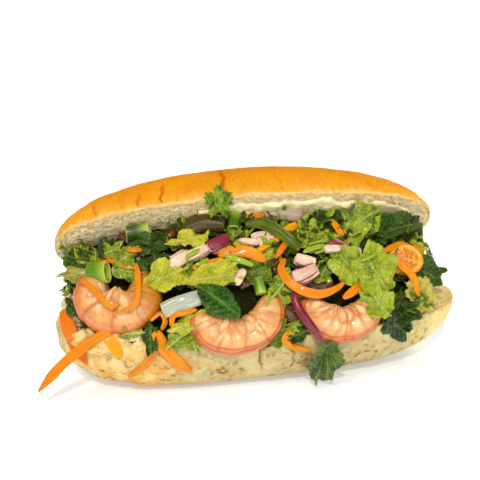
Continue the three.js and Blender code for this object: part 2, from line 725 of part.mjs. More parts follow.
// Leaves that are part of the heap. Each is rooted in the core and lifts its tip.
const heapLeaves = [
  { at: [-28, 31, 1.4], heading: 20, length: 13, width: 8, tilt: 7 },
  { at: [-54, 17, 1.4], heading: 5, length: 18, width: 10, roll: 11 },
  { at: [-74, 15, 1.4], heading: 10, length: 12, width: 9, tilt: 9 },
  { at: [-86, 13, 0.9], heading: 172, length: 18, width: 9, tilt: 6 },
  { at: [-88, 6, 1.4], heading: 190, length: 18, width: 9, tilt: 6 },
  { at: [-67, 11, 1.4], heading: 30, length: 13, width: 8, roll: 12 },
  { at: [-58, -28, 0.9], heading: -100, length: 16, width: 9, tilt: 7 },
  { at: [-47, -30, 1.4], heading: 30, length: 17, width: 10, tilt: 6 },
  { at: [-39, -25, 1.9], heading: 20, length: 19, width: 9, roll: -15 },
  { at: [-40, -32, 0.9], heading: -60, length: 11, width: 8, tilt: 9 },
  { at: [-3, -3, 1.4], heading: 25, length: 14, width: 12, tilt: 7 },
  { at: [7, -13, 1.9], heading: 70, length: 19, width: 12, tilt: 5 },
  { at: [28, 9, 1.4], heading: 30, length: 12, width: 9, tilt: 8 },
  { at: [26, 17, 1.4], heading: 15, length: 13, width: 7, tilt: 7 },
  { at: [37, 24, 1.4], heading: 45, length: 18, width: 11, tilt: 12 },
  { at: [49, 13, 1.4], heading: 50, length: 18, width: 11, tilt: 5 },
  { at: [60, 9, 1.4], heading: 10, length: 11, width: 8, tilt: 9 },
  { at: [74, -24, 1.4], heading: -25, length: 19, width: 11, tilt: 7 },
  { at: [70, -30, 0.9], heading: -10, length: 14, width: 6, tilt: 7 },
  { at: [63, -32, 0.9], heading: -45, length: 17, width: 13, tilt: 6 },
  { at: [3, -34, 0.9], heading: 40, length: 16, width: 10, tilt: 7 },
  { at: [13, -35, 0.9], heading: 20, length: 11, width: 7, tilt: 9 },
  { at: [-92, -10, 0.9], heading: -70, length: 13, width: 10, tilt: 6 },
  { at: [16, 31, 0.9], heading: 15, length: 9, width: 5, tilt: 6 },
  { at: [-67, -27, 0.9], heading: 0, length: 17, width: 7, tilt: 7 },
  { at: [-93, 20, 0.8], heading: 150, length: 11, width: 7, tilt: 7 },
];

// Torn leaves that cover the rest of the heap, spread evenly by the golden ratio
function fillerLeaves() {
  const golden = 0.618;
  const leaves = [];
  const count = 6;
  for (let index = 0; index < count; index += 1) {
    const along = THREE.MathUtils.lerp(-82, 84, (index + 0.5) / count);
    const up = THREE.MathUtils.lerp(-27, 23, (index * golden) % 1);
    leaves.push({
      at: [along, up, 0.9],
      heading: 137 * index,
      length: 14 + 4 * Math.sin(index),
      width: 10,
      tilt: 7,
      roll: 6 * Math.cos(2 * index),
    });
  }
  return leaves;
}

// Building

function heapCore() {
  const rings = [];
  const count = 17;
  const outerSteps = 5;
  for (let step = 0; step < count; step += 1) {
    const share = Math.sin((Math.PI / 2) * ((2 * step) / (count - 1) - 1));
    const along = (coreEnds[0] + coreEnds[1]) / 2 + (share * (coreEnds[1] - coreEnds[0])) / 2;
    const { low, high } = mouthRims(along);
    const ring = [];
    for (let level = 0; level <= outerSteps; level += 1) {
      const up = THREE.MathUtils.lerp(low[0] + 0.6, high[0] - 0.6, level / outerSteps);
      const lump = coreLumps * uneven(along * 2.1, up * 2.6);
      ring.push([up, heapSurface(along, up) + coreRise + lump]);
    }
    ring.push([2.5, heapBack], [-2.5, heapBack]);
    const shrink = Math.max(1 - share ** 8, 0.15) ** 0.5;
    const middle = (heapBack + low[1]) / 2;
    rings.push(ring.map(([up, out]) => (
      new THREE.Vector3(along, 0, 0).add(mouthCentre)
        .addScaledVector(mouthUp, up * shrink)
        .addScaledVector(mouthOut, middle + (out - middle) * shrink)
    )));
  }
  return loft(rings);
}

// A spread of mayonnaise on the upper half's crumb, thin and wavy, up to the front rim
function mayonnaiseSolid(grow) {
  const columns = 15;
  const rows = 4;
  const reach = [-28, 82];
  const rings = [];
  for (let column = 0; column < columns; column += 1) {
    const share = column / (columns - 1);
    const along = THREE.MathUtils.lerp(reach[0] - grow, reach[1] + grow, share);
    const size = upperHalfSize(along);
    const narrow = Math.sqrt(Math.max(1 - (2 * share - 1) ** 6, 0.05));
    const front = size.width - 1.5 + grow;
    const back = size.width - 22 * narrow + 2 * Math.sin(along * 0.35) - grow;
    const face = (depth) => {
      const line = [];
      for (let row = 0; row <= rows; row += 1) {
        const across = THREE.MathUtils.lerp(front, back, row / rows);
        line.push(upperPoint(along, across, depth, size.spring));
      }
      return line;
    };
    const skin = -crumbRelief - gap + grow;
    const swell = -2.9 - 0.5 * Math.sin(along * 0.5) - grow;
    rings.push([...face(skin), ...face(swell).reverse()]);
  }
  return loft(rings);
}

function toGeometry(solid) {
  const { vertProperties, triVerts } = solid.getMesh();
  const geometry = new THREE.BufferGeometry();
  geometry.setAttribute('position', new THREE.BufferAttribute(vertProperties, 3));
  geometry.setIndex(new THREE.BufferAttribute(triVerts, 1));
  return mergeVertices(geometry);
}

function addNode(parent, name, solid, material) {
  const geometry = toGeometry(solid);
  geometry.computeBoundingBox();
  const middle = geometry.boundingBox.getCenter(new THREE.Vector3()).round();
  geometry.translate(-middle.x, -middle.y, -middle.z);
  geometry.computeVertexNormals();
  const mesh = new THREE.Mesh(geometry, material);
  mesh.name = name;
  mesh.position.copy(middle);
  parent.add(mesh);
}

// Every loose piece, with the height at which it lies, so that upper ones are laid first
function loosePieces() {
  const pieces = [];
  const middleLift = (route) => route.reduce((sum, spot) => sum + spot[2], 0) / route.length;
  for (const [name, sizes] of Object.entries(prawns)) {
    pieces.push({ name, make: prawn(sizes), level: 7, colour: 'prawn' });
  }
  for (const [name, sizes] of Object.entries(carrots)) {
    pieces.push({ name, make: strip(sizes), level: middleLift(sizes.route), colour: 'carrot' });
  }
  for (const [name, sizes] of Object.entries(scallions)) {
    pieces.push({ name, make: tube(sizes), level: middleLift(sizes.route), colour: 'scallion' });
  }
  for (const [name, { colour, ...sizes }] of Object.entries(onions)) {
    const make = sizes.steps ? strip(sizes) : chunk(sizes);
    pieces.push({ name, make, level: middleLift(sizes.route), colour });
  }
  for (const [name, { colour, level, make }] of Object.entries(otherVegetables)) {
    pieces.push({ name, make, level, colour });
  }
  for (const [name, { colour, ...sizes }] of Object.entries(looseLeaves)) {
    pieces.push({ name, make: leaf(sizes), level: sizes.at[2] + 0.5, colour });
  }
  return pieces.sort((a, b) => b.level - a.level);
}

const group = new THREE.Group();
const filling = new THREE.Group();
const roll = rollSolid(0);
addNode(group, 'roll', roll, finishes.bread);
group.add(filling);

let taken = rollSolid(gap);
const mayonnaise = biggestPiece(mayonnaiseSolid(0).subtract(taken));
addNode(filling, 'mayonnaise', mayonnaise, finishes.mayonnaise);
taken = taken.add(mayonnaiseSolid(gap));

for (const { name, make, colour } of loosePieces()) {
  const solid = biggestPiece(make(0).subtract(taken));
  addNode(filling, name, solid, finishes[colour]);
  taken = taken.add(make(gap));
}

let heap = heapCore();
[...heapLeaves, ...fillerLeaves()].forEach((sizes) => {
  heap = heap.add(leaf({ ...sizes, ...heapLeafForm })(0));
});
addNode(filling, 'salad', biggestPiece(heap.subtract(taken)), finishes.salad);

export default group;
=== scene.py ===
import json

import bpy
import numpy as np
from mathutils import Matrix, Vector

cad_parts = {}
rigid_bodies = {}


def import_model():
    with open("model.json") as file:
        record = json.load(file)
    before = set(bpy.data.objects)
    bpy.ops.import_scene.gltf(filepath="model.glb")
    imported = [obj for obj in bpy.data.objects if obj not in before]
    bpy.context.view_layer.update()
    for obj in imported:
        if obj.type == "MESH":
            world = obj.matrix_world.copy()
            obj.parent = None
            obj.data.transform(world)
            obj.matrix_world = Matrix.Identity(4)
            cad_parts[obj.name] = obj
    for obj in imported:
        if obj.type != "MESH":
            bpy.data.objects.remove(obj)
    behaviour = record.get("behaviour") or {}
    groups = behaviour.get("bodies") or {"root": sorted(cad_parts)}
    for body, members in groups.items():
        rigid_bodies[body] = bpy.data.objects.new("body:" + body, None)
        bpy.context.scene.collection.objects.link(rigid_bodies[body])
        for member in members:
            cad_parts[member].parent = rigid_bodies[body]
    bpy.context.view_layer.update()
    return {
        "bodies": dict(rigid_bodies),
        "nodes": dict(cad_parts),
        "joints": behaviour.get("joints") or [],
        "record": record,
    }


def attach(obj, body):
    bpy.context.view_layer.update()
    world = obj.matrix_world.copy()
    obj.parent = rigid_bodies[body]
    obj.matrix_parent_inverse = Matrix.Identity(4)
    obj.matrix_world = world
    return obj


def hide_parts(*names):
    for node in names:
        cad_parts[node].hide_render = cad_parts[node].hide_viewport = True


# A prawn banh mi: a soft golden roll with salad, three prawns, carrot shreds, onion and herbs.
# Every size below is in millimetres, in the CAD model's frame.

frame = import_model()
mm = 0.001
print("frame loaded with", len(frame["nodes"]), "solids")


# Camera, lights and sky

cameraPlan = {
    "target": (-7.0, 7.4, 66.9),
    "distance": 650.0,
    "towardsLeftEnd": 9.0,  # degrees, as are the elevation and the roll
    "elevation": 22.0,
    "roll": 1.2,
    "lens": 95.6,
    "sensor": 36.0,
    "nearest": 10.0,
    "farthest": 20000.0,
}


# The camera looks at the target from a distance, turned by azimuth, elevation and roll.
def makeCamera(plan):
    turn, rise, roll = np.radians([plan["towardsLeftEnd"], plan["elevation"], plan["roll"]])
    back = np.array([-np.sin(turn) * np.cos(rise), -np.cos(turn) * np.cos(rise), np.sin(rise)])
    level = np.array([np.cos(turn), -np.sin(turn), 0.0])
    upright = np.cross(back, level)
    right = level * np.cos(roll) - upright * np.sin(roll)
    up = level * np.sin(roll) + upright * np.cos(roll)
    data = bpy.data.cameras.new("camera")
    data.lens = plan["lens"]
    data.sensor_width = plan["sensor"]
    data.clip_start = plan["nearest"] * mm
    data.clip_end = plan["farthest"] * mm
    camera = bpy.data.objects.new("camera", data)
    bpy.context.scene.collection.objects.link(camera)
    spot = (np.array(plan["target"]) + back * plan["distance"]) * mm
    columns = [right, up, back, spot]
    camera.matrix_world = Matrix([[*row] for row in np.array(columns).T] + [[0, 0, 0, 1]])
    bpy.context.scene.camera = camera


# A lamp with a spread, in degrees, is a sun. The one with a size is a low panel in front.
lightPlan = {
    "key": {"spot": (-330, -400, 700), "spread": 14.0, "strength": 0.75},
    "rim": {"spot": (420, 380, 620), "spread": 22.0, "strength": 0.85},
    "sparkle": {"spot": (-120, -520, 560), "spread": 2.5, "strength": 1.3},
    "fill": {"spot": (160, -760, 260), "size": 420, "strength": 1.3},
}
lightAim = (0, 0, 50)
lightTint = (1.0, 0.94, 0.8)
skyPlan = {"top": 0.5, "horizon": 0.2, "mirrored": 0.16, "seen": 1.0}


def makeLights():
    aim = Vector(lightAim) * mm
    for name, lamp in lightPlan.items():
        isSun = "spread" in lamp
        data = bpy.data.lights.new(name, "SUN" if isSun else "AREA")
        data.energy = lamp["strength"]
        data.color = lightTint
        if isSun:
            data.angle = np.radians(lamp["spread"])
        else:
            data.size = lamp["size"] * mm
        light = bpy.data.objects.new(name, data)
        bpy.context.scene.collection.objects.link(light)
        light.location = Vector(lamp["spot"]) * mm
        light.rotation_euler = (aim - light.location).to_track_quat("-Z", "Y").to_euler()


# The sky is brighter overhead. Glossy surfaces mirror a darker one, and the camera sees plain white.
def makeSky(plan):
    world = bpy.data.worlds.new("studio")
    world.use_nodes = True
    tree = world.node_tree
    height = addNode(tree, "SeparateXYZ", {"Vector": addNode(tree, "TexCoord").outputs["Generated"]})
    path = addNode(tree, "LightPath").outputs
    sky = spread(tree, height.outputs["Z"], plan["horizon"], plan["top"], interpolation_type="SMOOTHSTEP")
    dim = spread(tree, path["Is Glossy Ray"], sky, plan["mirrored"])
    strength = spread(tree, path["Is Camera Ray"], dim, plan["seen"])
    feed(tree, tree.nodes["Background"], {"Strength": strength, "Color": "#ffffff"})
    bpy.context.scene.world = world
    bpy.context.scene.view_settings.view_transform = "Standard"


# Shader tools

# Colours are written as they look and turned into linear light.
def colour(code):
    parts = np.array([int(code[start:start + 2], 16) for start in (1, 3, 5)]) / 255
    linear = np.where(parts <= 0.04045, parts / 12.92, ((parts + 0.055) / 1.055) ** 2.4)
    return (*[float(part) for part in linear], 1.0)


# Fills a node's inputs: a socket is linked, a colour code becomes a colour, another value is set.
def feed(tree, node, values):
    for key, value in values.items():
        if isinstance(value, bpy.types.NodeSocket):
            tree.links.new(value, node.inputs[key])
        else:
            node.inputs[key].default_value = colour(value) if isinstance(value, str) else value
    return node


def addNode(tree, kind, inputs=None, **settings):
    node = tree.nodes.new("ShaderNode" + kind)
    for key, value in settings.items():
        setattr(node, key, value)
    return feed(tree, node, inputs or {})


def reckon(tree, operation, *values):
    return addNode(tree, "Math", dict(enumerate(values)), operation=operation).outputs[0]


def add(tree, first, second):
    return reckon(tree, "ADD", first, second)


def multiply(tree, first, second):
    return reckon(tree, "MULTIPLY", first, second)


# From low to high as the share runs from 0 to 1
def spread(tree, share, low, high, **settings):
    limits = {"Value": share, "To Min": low, "To Max": high}
    return addNode(tree, "MapRange", limits, **settings).outputs["Result"]


# 0 below low, 1 above high, smooth between
def fade(tree, value, low, high):
    limits = {"Value": value, "From Min": low, "From Max": high}
    return addNode(tree, "MapRange", limits, interpolation_type="SMOOTHSTEP").outputs["Result"]


# The same along the roll or up it, with the limits in millimetres; object coordinates are in metres
def zone(tree, value, limits):
    return fade(tree, value, limits[0] * mm, limits[1] * mm)


def blendColours(tree, share, first, second):
    return addNode(tree, "Mix", {0: share, 6: first, 7: second}, data_type="RGBA").outputs[2]


def readMask(tree, name):
    return addNode(tree, "Attribute", attribute_name=name).outputs["Fac"]


# Lays tints over a colour one after the other. A tint is (colour, share) under the name of its mask,
# which is one of the masks given here or else the piece's own attribute.
def layTints(tree, surface, tints, **masks):
    for name, (code, share) in tints.items():
        mask = masks[name] if name in masks else readMask(tree, name)
        surface = blendColours(tree, mask if share == 1 else multiply(tree, mask, share), surface, code)
    return surface


def objectSpot(tree):
    return addNode(tree, "TexCoord").outputs["Object"]


def useGroup(tree, name, **inputs):
    return addNode(tree, "Group", inputs, node_tree=bpy.data.node_groups[name]).outputs[0]


def patches(tree, spot, size, low, high):
    return useGroup(tree, "patches", Spot=spot, Size=size, Low=low, High=high)


def manyPatches(tree, spot, plan):
    return {name: patches(tree, spot, *values) for name, values in plan.items()}


def fibres(tree, run, across, pitch):
    return useGroup(tree, "fibres", Run=run, Across=across, Pitch=pitch)


# Builds a group whose mask is worked out from its inputs. An input without a value is a place.
def makeGroup(name, workOut, **inputs):
    group = bpy.data.node_groups.new(name, "ShaderNodeTree")
    for label, value in inputs.items():
        kind = "NodeSocketVector" if value is None else "NodeSocketFloat"
        socket = group.interface.new_socket(label, in_out="INPUT", socket_type=kind)
        if value is not None:
            socket.default_value = value
    group.interface.new_socket("Mask", in_out="OUTPUT", socket_type="NodeSocketFloat")
    given = group.nodes.new("NodeGroupInput").outputs
    mask = workOut(group, *[given[label] for label in inputs])
    group.links.new(mask, group.nodes.new("NodeGroupOutput").inputs["Mask"])


def noise(tree, spot, scale, detail):
    return addNode(tree, "TexNoise", {"Vector": spot, "Scale": scale, "Detail": detail}).outputs["Fac"]


# How many times a pattern of a size in millimetres repeats in a metre
def perMetre(tree, size):
    return reckon(tree, "DIVIDE", 1000.0, size)


# |value - 0.5|, how far a value is from the middle
def offMiddle(tree, value):
    return reckon(tree, "ABSOLUTE", reckon(tree, "SUBTRACT", value, 0.5))


# patches: soft noise, cut between two levels
def workPatches(tree, spot, size, low, high):
    return fade(tree, noise(tree, spot, perMetre(tree, size), 3.0), low, high)


# specks: round spots about scattered points, of a radius that is a share of their spacing
def workSpecks(tree, spot, spacing, share):
    cells = addNode(tree, "TexVoronoi", {"Vector": spot, "Scale": perMetre(tree, spacing)})
    return fade(tree, cells.outputs["Distance"], share, multiply(tree, share, 0.4))


# web: thin wandering lines where soft noise crosses its middle, |noise - 0.5| < width
def workWeb(tree, spot, size, width):
    return fade(tree, offMiddle(tree, noise(tree, spot, perMetre(tree, size), 1.5)), width, 0.0)


# fibres: noise that is nine times as long along the run of a strip as its pitch across it
def workFibres(tree, run, across, pitch):
    spot = addNode(tree, "CombineXYZ", {
        "X": reckon(tree, "DIVIDE", run, multiply(tree, pitch, 9.0)),
        "Y": reckon(tree, "DIVIDE", across, pitch),
    })
    return fade(tree, noise(tree, spot.outputs[0], 1.0, 2.0), 0.3, 0.7)


# veins: a midrib and side veins that leave it in a chevron, (along - |across| slant) / spacing
def workVeins(tree, along, across, spacing, slant, thick):
    spot = addNode(tree, "CombineXYZ", {"X": along, "Y": across}).outputs[0]
    wobble = multiply(tree, noise(tree, spot, 0.35, 2.0), 2.4)
    far = reckon(tree, "ABSOLUTE", across)
    drift = reckon(tree, "SUBTRACT", add(tree, along, wobble), multiply(tree, far, slant))
    step = reckon(tree, "FRACT", reckon(tree, "DIVIDE", drift, spacing))
    sideVeins = multiply(tree, fade(tree, offMiddle(tree, step), thick, 0.02), 0.7)
    return reckon(tree, "MAXIMUM", sideVeins, fade(tree, far, 0.7, 0.25))


# fans: veins that spread from the stalk end, evenly turned about it
def workFans(tree, along, across, stalk, count):
    turn = reckon(tree, "ARCTAN2", across, add(tree, along, stalk))
    step = reckon(tree, "FRACT", multiply(tree, turn, count))
    return fade(tree, offMiddle(tree, step), 0.16, 0.03)


def makeGroups():
    makeGroup("patches", workPatches, Spot=None, Size=5.0, Low=0.4, High=0.6)
    makeGroup("specks", workSpecks, Spot=None, Spacing=5.0, Share=0.2)
    makeGroup("web", workWeb, Spot=None, Size=5.0, Width=0.02)
    makeGroup("fibres", workFibres, Run=0.0, Across=0.0, Pitch=0.5)
    makeGroup("veins", workVeins, Along=0.0, Across=0.0, Spacing=3.0, Slant=0.9, Thick=0.16)
    makeGroup("fans", workFans, Along=0.0, Across=0.0, Stalk=8.0, Count=9.0)


# A material with the shader's even values; reach is how far light glows through, in millimetres
def newFinish(name, roughness, coat=0.0, coatRoughness=0.15, glow=0.0, glowColour=(1, 1, 1), reach=1.0,
              shine=0.35):
    material = bpy.data.materials.new(name)
    material.use_nodes = True
    tree = material.node_tree
    feed(tree, tree.nodes["Principled BSDF"], {
        "Roughness": roughness,
        "Specular IOR Level": shine,
        "Coat Weight": coat,
        "Coat Roughness": coatRoughness,
        "Subsurface Weight": glow,
        "Subsurface Radius": glowColour,
        "Subsurface Scale": reach * mm,
    })
    return material, tree


# Gives a material its colour, its relief of a depth in millimetres, and other inputs of the shader.
def dress(material, surface, height=None, depth=0.2, strength=1.0, **inputs):
    tree = material.node_tree
    inputs["Base Color"] = surface
    if height is not None:
        bump = addNode(tree, "Bump", {"Height": height, "Distance": depth * mm, "Strength": strength})
        inputs["Normal"] = bump.outputs["Normal"]
    feed(tree, tree.nodes["Principled BSDF"], inputs)
    return material


# Mesh tools

def unit(vectors):
    return vectors / np.maximum(np.linalg.norm(vectors, axis=-1, keepdims=True), 1e-9)


def lerp(first, second, share):
    return first + (second - first) * share


def smoothStep(value, low, high):
    share = np.clip((value - low) / (high - low), 0, 1)
    return share * share * (3 - 2 * share)


# A bell of height 1 about a middle, exp(-((value - middle) / width)^2)
def bell(value, middle, width):
    return np.exp(-((value - middle) / width) ** 2)


# sgn(value) |value|^power, which turns a circle's cosine and sine into a superellipse's
def signedPower(value, power):
    return np.sign(value) * np.abs(value) ** power


def turnAbout(vectors, axis, degrees):
    angle = np.radians(degrees)
    along = (vectors @ axis)[..., None] * axis
    return along + (vectors - along) * np.cos(angle) + np.cross(axis, vectors) * np.sin(angle)


# Noise is drawn from whole numbers: the corner of a cell is scrambled into a key, and a key and a
# salt into a number from 0 to randomTop.
cellPrimes = (73856093, 19349663, 83492791)
randomTop = 65535


def cellKey(cell):
    return (cell[..., 0] * cellPrimes[0]) ^ (cell[..., 1] * cellPrimes[1]) ^ (cell[..., 2] * cellPrimes[2])


def randomNumber(key, salt):
    return (((key ^ salt) * 1103515245 + 12345) >> 9) & randomTop


# A number from -1 to 1 at every point: random values on a lattice of that size, blended smoothly
def latticeNoise(points, size, seed=0):
    spots = np.asarray(points, float) / size + 311.7
    cell = np.floor(spots).astype(np.int64)
    share = spots - cell
    share = share * share * (3 - 2 * share)
    total = np.zeros(spots.shape[:-1])
    for corner in range(8):
        offset = np.array([(corner >> axis) & 1 for axis in range(3)])
        value = randomNumber(cellKey(cell + offset), seed * 15485863 + 977) / (randomTop / 2) - 1
        total += np.prod(np.where(offset, share, 1 - share), axis=-1) * value
    return total


# Noise of several sizes added up; each layer is (amount, size)
def noiseLayers(points, seed, *layers):
    return sum(
        amount * latticeNoise(points, size, seed + number) for number, (amount, size) in enumerate(layers)
    )


# Distances from every point to the nearest and the second nearest of random points, one to a cell
def cellDistances(points, size, seed=0):
    spots = np.asarray(points, float) / size + 127.3
    cell = np.floor(spots).astype(np.int64)
    nearest = np.full(spots.shape[:-1], 9.0)
    second = nearest.copy()
    for code in range(27):
        around = cell + np.array([code % 3, code // 3 % 3, code // 9]) - 1
        key = cellKey(around)
        gap = 0.0
        for axis in range(3):
            centre = around[..., axis] + randomNumber(key, seed * 7919 + axis * 104729 + 31) / randomTop
            gap = gap + (spots[..., axis] - centre) ** 2
        gap = np.sqrt(gap)
        second = np.minimum(second, np.maximum(nearest, gap))
        nearest = np.minimum(nearest, gap)
    return nearest, second


# 1 in the middle of scattered round pores and 0 between them
def poreField(points, size, seed=0, fullShare=0.25, edgeShare=0.75):
    return 1 - smoothStep(cellDistances(points, size, seed)[0], fullShare, edgeShare)


# Even steps once round a circle
def fullTurn(count):
    return np.linspace(0, 2 * np.pi, count, endpoint=False)


# A ball on rings from pole to pole, as unit points: (cos p, sin p cos t, sin p sin t)
def ballPoints(rows, columns, poleGap):
    polar, turn = np.linspace(poleGap, np.pi - poleGap, rows)[:, None], fullTurn(columns)[None]
    parts = [np.cos(polar) + 0 * turn, np.sin(polar) * np.cos(turn), np.sin(polar) * np.sin(turn)]
    return np.stack(parts, -1)


# A closed skin over rings of points: a row of the grid is one ring, and the first and last ring
# close on their middle. With loop, the last ring joins the first instead.
def ringShell(grid, masks=None, loop=False):
    rows, columns = grid.shape[:2]
    index = np.arange(rows * columns).reshape(rows, columns)
    beside = np.roll(index, -1, axis=1)
    points = grid.reshape(-1, 3)
    masks = {name: np.broadcast_to(mask, (rows, columns)).ravel() for name, mask in (masks or {}).items()}
    triangles = np.zeros((0, 3), np.int64)
    if loop:
        quads = np.stack([index, beside, np.roll(beside, -1, 0), np.roll(index, -1, 0)], -1).reshape(-1, 4)
    else:
        quads = np.stack([index[:-1], beside[:-1], beside[1:], index[1:]], -1).reshape(-1, 4)
        hub = rows * columns
        start = np.stack([beside[0], index[0], np.full(columns, hub)], -1)
        end = np.stack([index[-1], beside[-1], np.full(columns, hub + 1)], -1)
        triangles = np.vstack([start, end])
        points = np.vstack([points, grid[0].mean(0), grid[-1].mean(0)])
        masks = {
            name: np.append(mask, [mask[:columns].mean(), mask[-columns:].mean()])
            for name, mask in masks.items()
        }
    volume = sum(
        np.einsum("ij,ij->", points[face[:, 0]], np.cross(points[face[:, 1]], points[face[:, 2]]))
        for face in (quads[:, :3], quads[:, [0, 2, 3]], triangles)
    )
    if volume < 0:
        quads, triangles = quads[:, ::-1], triangles[:, ::-1]
    return {"points": points, "quads": quads, "triangles": triangles, "masks": masks}


# Several shells as one; a mask that a shell lacks is 0 on it
def joinShells(shells):
    counts = [len(shell["points"]) for shell in shells]
    starts = np.cumsum([0] + counts[:-1])
    names = sorted({name for shell in shells for name in shell["masks"]})
    return {
        "points": np.vstack([shell["points"] for shell in shells]),
        "quads": np.vstack([shell["quads"] + start for shell, start in zip(shells, starts)]),
        "triangles": np.vstack([shell["triangles"] + start for shell, start in zip(shells, starts)]),
        "masks": {
            name: np.concatenate([
                shell["masks"].get(name, np.zeros(count)) for shell, count in zip(shells, counts)
            ]) for name in names
        },
    }


# Makes the object, with its place in its mesh, its masks as point attributes, and its place in the frame.
def makePiece(name, shells, material, node):
    shell = joinShells(shells if isinstance(shells, list) else [shells])
    quads, triangles = shell["quads"], shell["triangles"]
    mesh = bpy.data.meshes.new(name)
    mesh.vertices.add(len(shell["points"]))
    mesh.vertices.foreach_set("co", (shell["points"] * mm).astype(np.float32).ravel())
    corners = np.concatenate([quads.ravel(), triangles.ravel()])
    sizes = np.concatenate([np.full(len(quads), 4), np.full(len(triangles), 3)])
    mesh.loops.add(len(corners))
    mesh.loops.foreach_set("vertex_index", corners.astype(np.int32))
    mesh.polygons.add(len(sizes))
    mesh.polygons.foreach_set("loop_start", (np.cumsum(sizes) - sizes).astype(np.int32))
    mesh.polygons.foreach_set("use_smooth", np.ones(len(sizes), bool))
    mesh.update(calc_edges=True)
    mesh.validate()
    for maskName, mask in shell["masks"].items():
        attribute = mesh.attributes.new(maskName, "FLOAT", "POINT")
        attribute.data.foreach_set("value", mask.astype(np.float32))
    mesh.materials.append(material)
    piece = bpy.data.objects.new(name, mesh)
    bpy.context.scene.collection.objects.link(piece)
    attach(piece, "root")
    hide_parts(node)


# The roll

roll = {
    "halfWidth": 37.0,
    "cutHeight": 32.0,
    "lowerDepth": 33.0,
    "lowerSlope": 0.01,
    "heelShare": 0.2,
    "upperDepth": 35.5,
    "lowerEnds": (-103.0, 103.5),
    "upperEnds": (-100.5, 95.0),
    "hingeLine": 34.0,
    "openAngle": np.radians(60.0),
    "endLift": 8.0,
    "sectionPower": 2.5,
    "webReach": (-92.0, 88.0),
    # how full the width and depth stay towards the ends: left power, right power and roundness
    "lowerWidthFull": (3.2, 2.6, 2.2),
    "lowerDepthFull": (4.2, 3.1, 2.1),
    "upperWidthFull": (2.3, 2.3, 2.0),
    "upperDepthFull": (2.2, 1.9, 1.9),
    "rimRound": 4,  # passes that soften the rim
    "crumbDepth": 1.5,
    "crustLumps": 0.9,
    "wrinkleHeight": 0.85,
    "wrinkleReach": 9.0,  # how far from the rim the wrinkles fade
    "crackWidth": 0.6,
    "crackDepth": 1.1,
    "stretch": np.array([1.0, 0.2, 0.2]),  # crumb and wrinkles run across the roll's length
    "lumpsFrom": (35, 70),  # between these distances left of the middle the crust grows lumpy
    # torn flaps and lumps at the left end: centre, half sizes, seed and share of crumb
    "flaps": [
        ((-95.5, 2.0, 41.0), (3.5, 6.0, 8.5), 5, 1.0), ((-92.0, -3.0, 35.5), (4.5, 5.0, 4.0), 7, 1.0),
        ((-65.0, -31.0, 36.5), (3.0, 2.4, 2.2), 9, 1.0), ((-24.0, -34.5, 31.5), (1.6, 1.2, 1.0), 11, 1.0),
        ((-76.0, -27.5, 33.0), (13.0, 4.2, 5.6), 13, 0.0), ((-59.0, -31.0, 32.0), (9.0, 3.6, 4.2), 15, 0.0),
        ((-90.0, -21.0, 32.5), (8.0, 5.0, 5.0), 17, 0.0),
    ],
    # cracks in the upper crust: along the roll, how far they climb, how deep
    "cracks": [
        (-46.0, 19.0, 1.3), (-15.0, 31.0, 1.8), (-58.0, 12.0, 1.0), (4.0, 14.0, 0.4), (13.0, 18.0, 0.4),
        (-79.0, 13.0, 0.7),
    ],
    # splits in the lower crust, in the same way but down from the rim
    "splits": [(-4.0, 22.0, 1.5), (11.0, 22.0, 1.0), (-35.0, 14.0, 0.4), (58.0, 12.0, 0.3)],
}


def middleAndHalf(ends):
    return (ends[0] + ends[1]) / 2, (ends[1] - ends[0]) / 2


# fullness = (1 - |share|^power)^(1 / roundness), from 1 in the middle of the roll to 0 at its ends
def fullness(along, ends, leftPower, rightPower, roundness):
    middle, half = middleAndHalf(ends)
    share = (along - middle) / half
    power = np.where(share < 0, leftPower, rightPower)
    return np.maximum(1 - np.abs(share) ** power, 0) ** (1 / roundness)


# Half width and depth of the lower half at a station
def lowerSize(along):
    width = roll["halfWidth"] * fullness(along, roll["lowerEnds"], *roll["lowerWidthFull"])
    depth = roll["lowerDepth"] - roll["lowerSlope"] * along
    return width, depth * fullness(along, roll["lowerEnds"], *roll["lowerDepthFull"])


# Half width and depth of the upper half, and how far its ends are lifted off the lower one
def upperSize(along):
    middle, half = middleAndHalf(roll["upperEnds"])
    width = roll["halfWidth"] * fullness(along, roll["upperEnds"], *roll["upperWidthFull"])
    depth = roll["upperDepth"] * fullness(along, roll["upperEnds"], *roll["upperDepthFull"])
    return width, depth, roll["endLift"] * np.abs((along - middle) / half) ** 3


# The upper half is turned about the hinge line: across runs from back to front, height off its cut.
def upperPoint(along, across, height, spring):
    reach = roll["hingeLine"] + across + spring
    sine, cosine = np.sin(roll["openAngle"]), np.cos(roll["openAngle"])
    back = roll["hingeLine"] - reach * cosine + height * sine
    return np.stack([along + 0 * back, back, roll["cutHeight"] + reach * sine + height * cosine], -1)


def lowerPoint(along, across, depth):
    heel = 1 + roll["heelShare"] * np.maximum(-across / roll["halfWidth"], 0)
    height = np.maximum(roll["cutHeight"] - depth * heel, 0)
    return np.stack([along + 0 * height, -across, height], -1)


# Stations crowd towards the ends by a sine, where the roll rounds off.
def rollStations(ends, count):
    middle, _ = middleAndHalf(ends)
    share = np.sin(np.pi / 2 * 0.985 * np.linspace(-1, 1, count))
    return middle + share * (ends[1] - ends[0]) / 2


# A section: the cut from front to back, closest together at the front, then the crust back to front
# as a superellipse, across = -w sgn(cos) |cos|^(2/p) and depth = d sin^(2/p).
def sectionShares(cutColumns, crustColumns):
    cut = 1 - 2 * np.linspace(0, 1, cutColumns) ** 1.7
    angle = np.pi * (np.arange(1, crustColumns) / crustColumns) ** 0.85
    power = 2 / roll["sectionPower"]
    across = np.concatenate([cut, -signedPower(np.cos(angle), power)])
    depth = np.concatenate([np.zeros(cutColumns), np.sin(angle) ** power])
    return across, depth


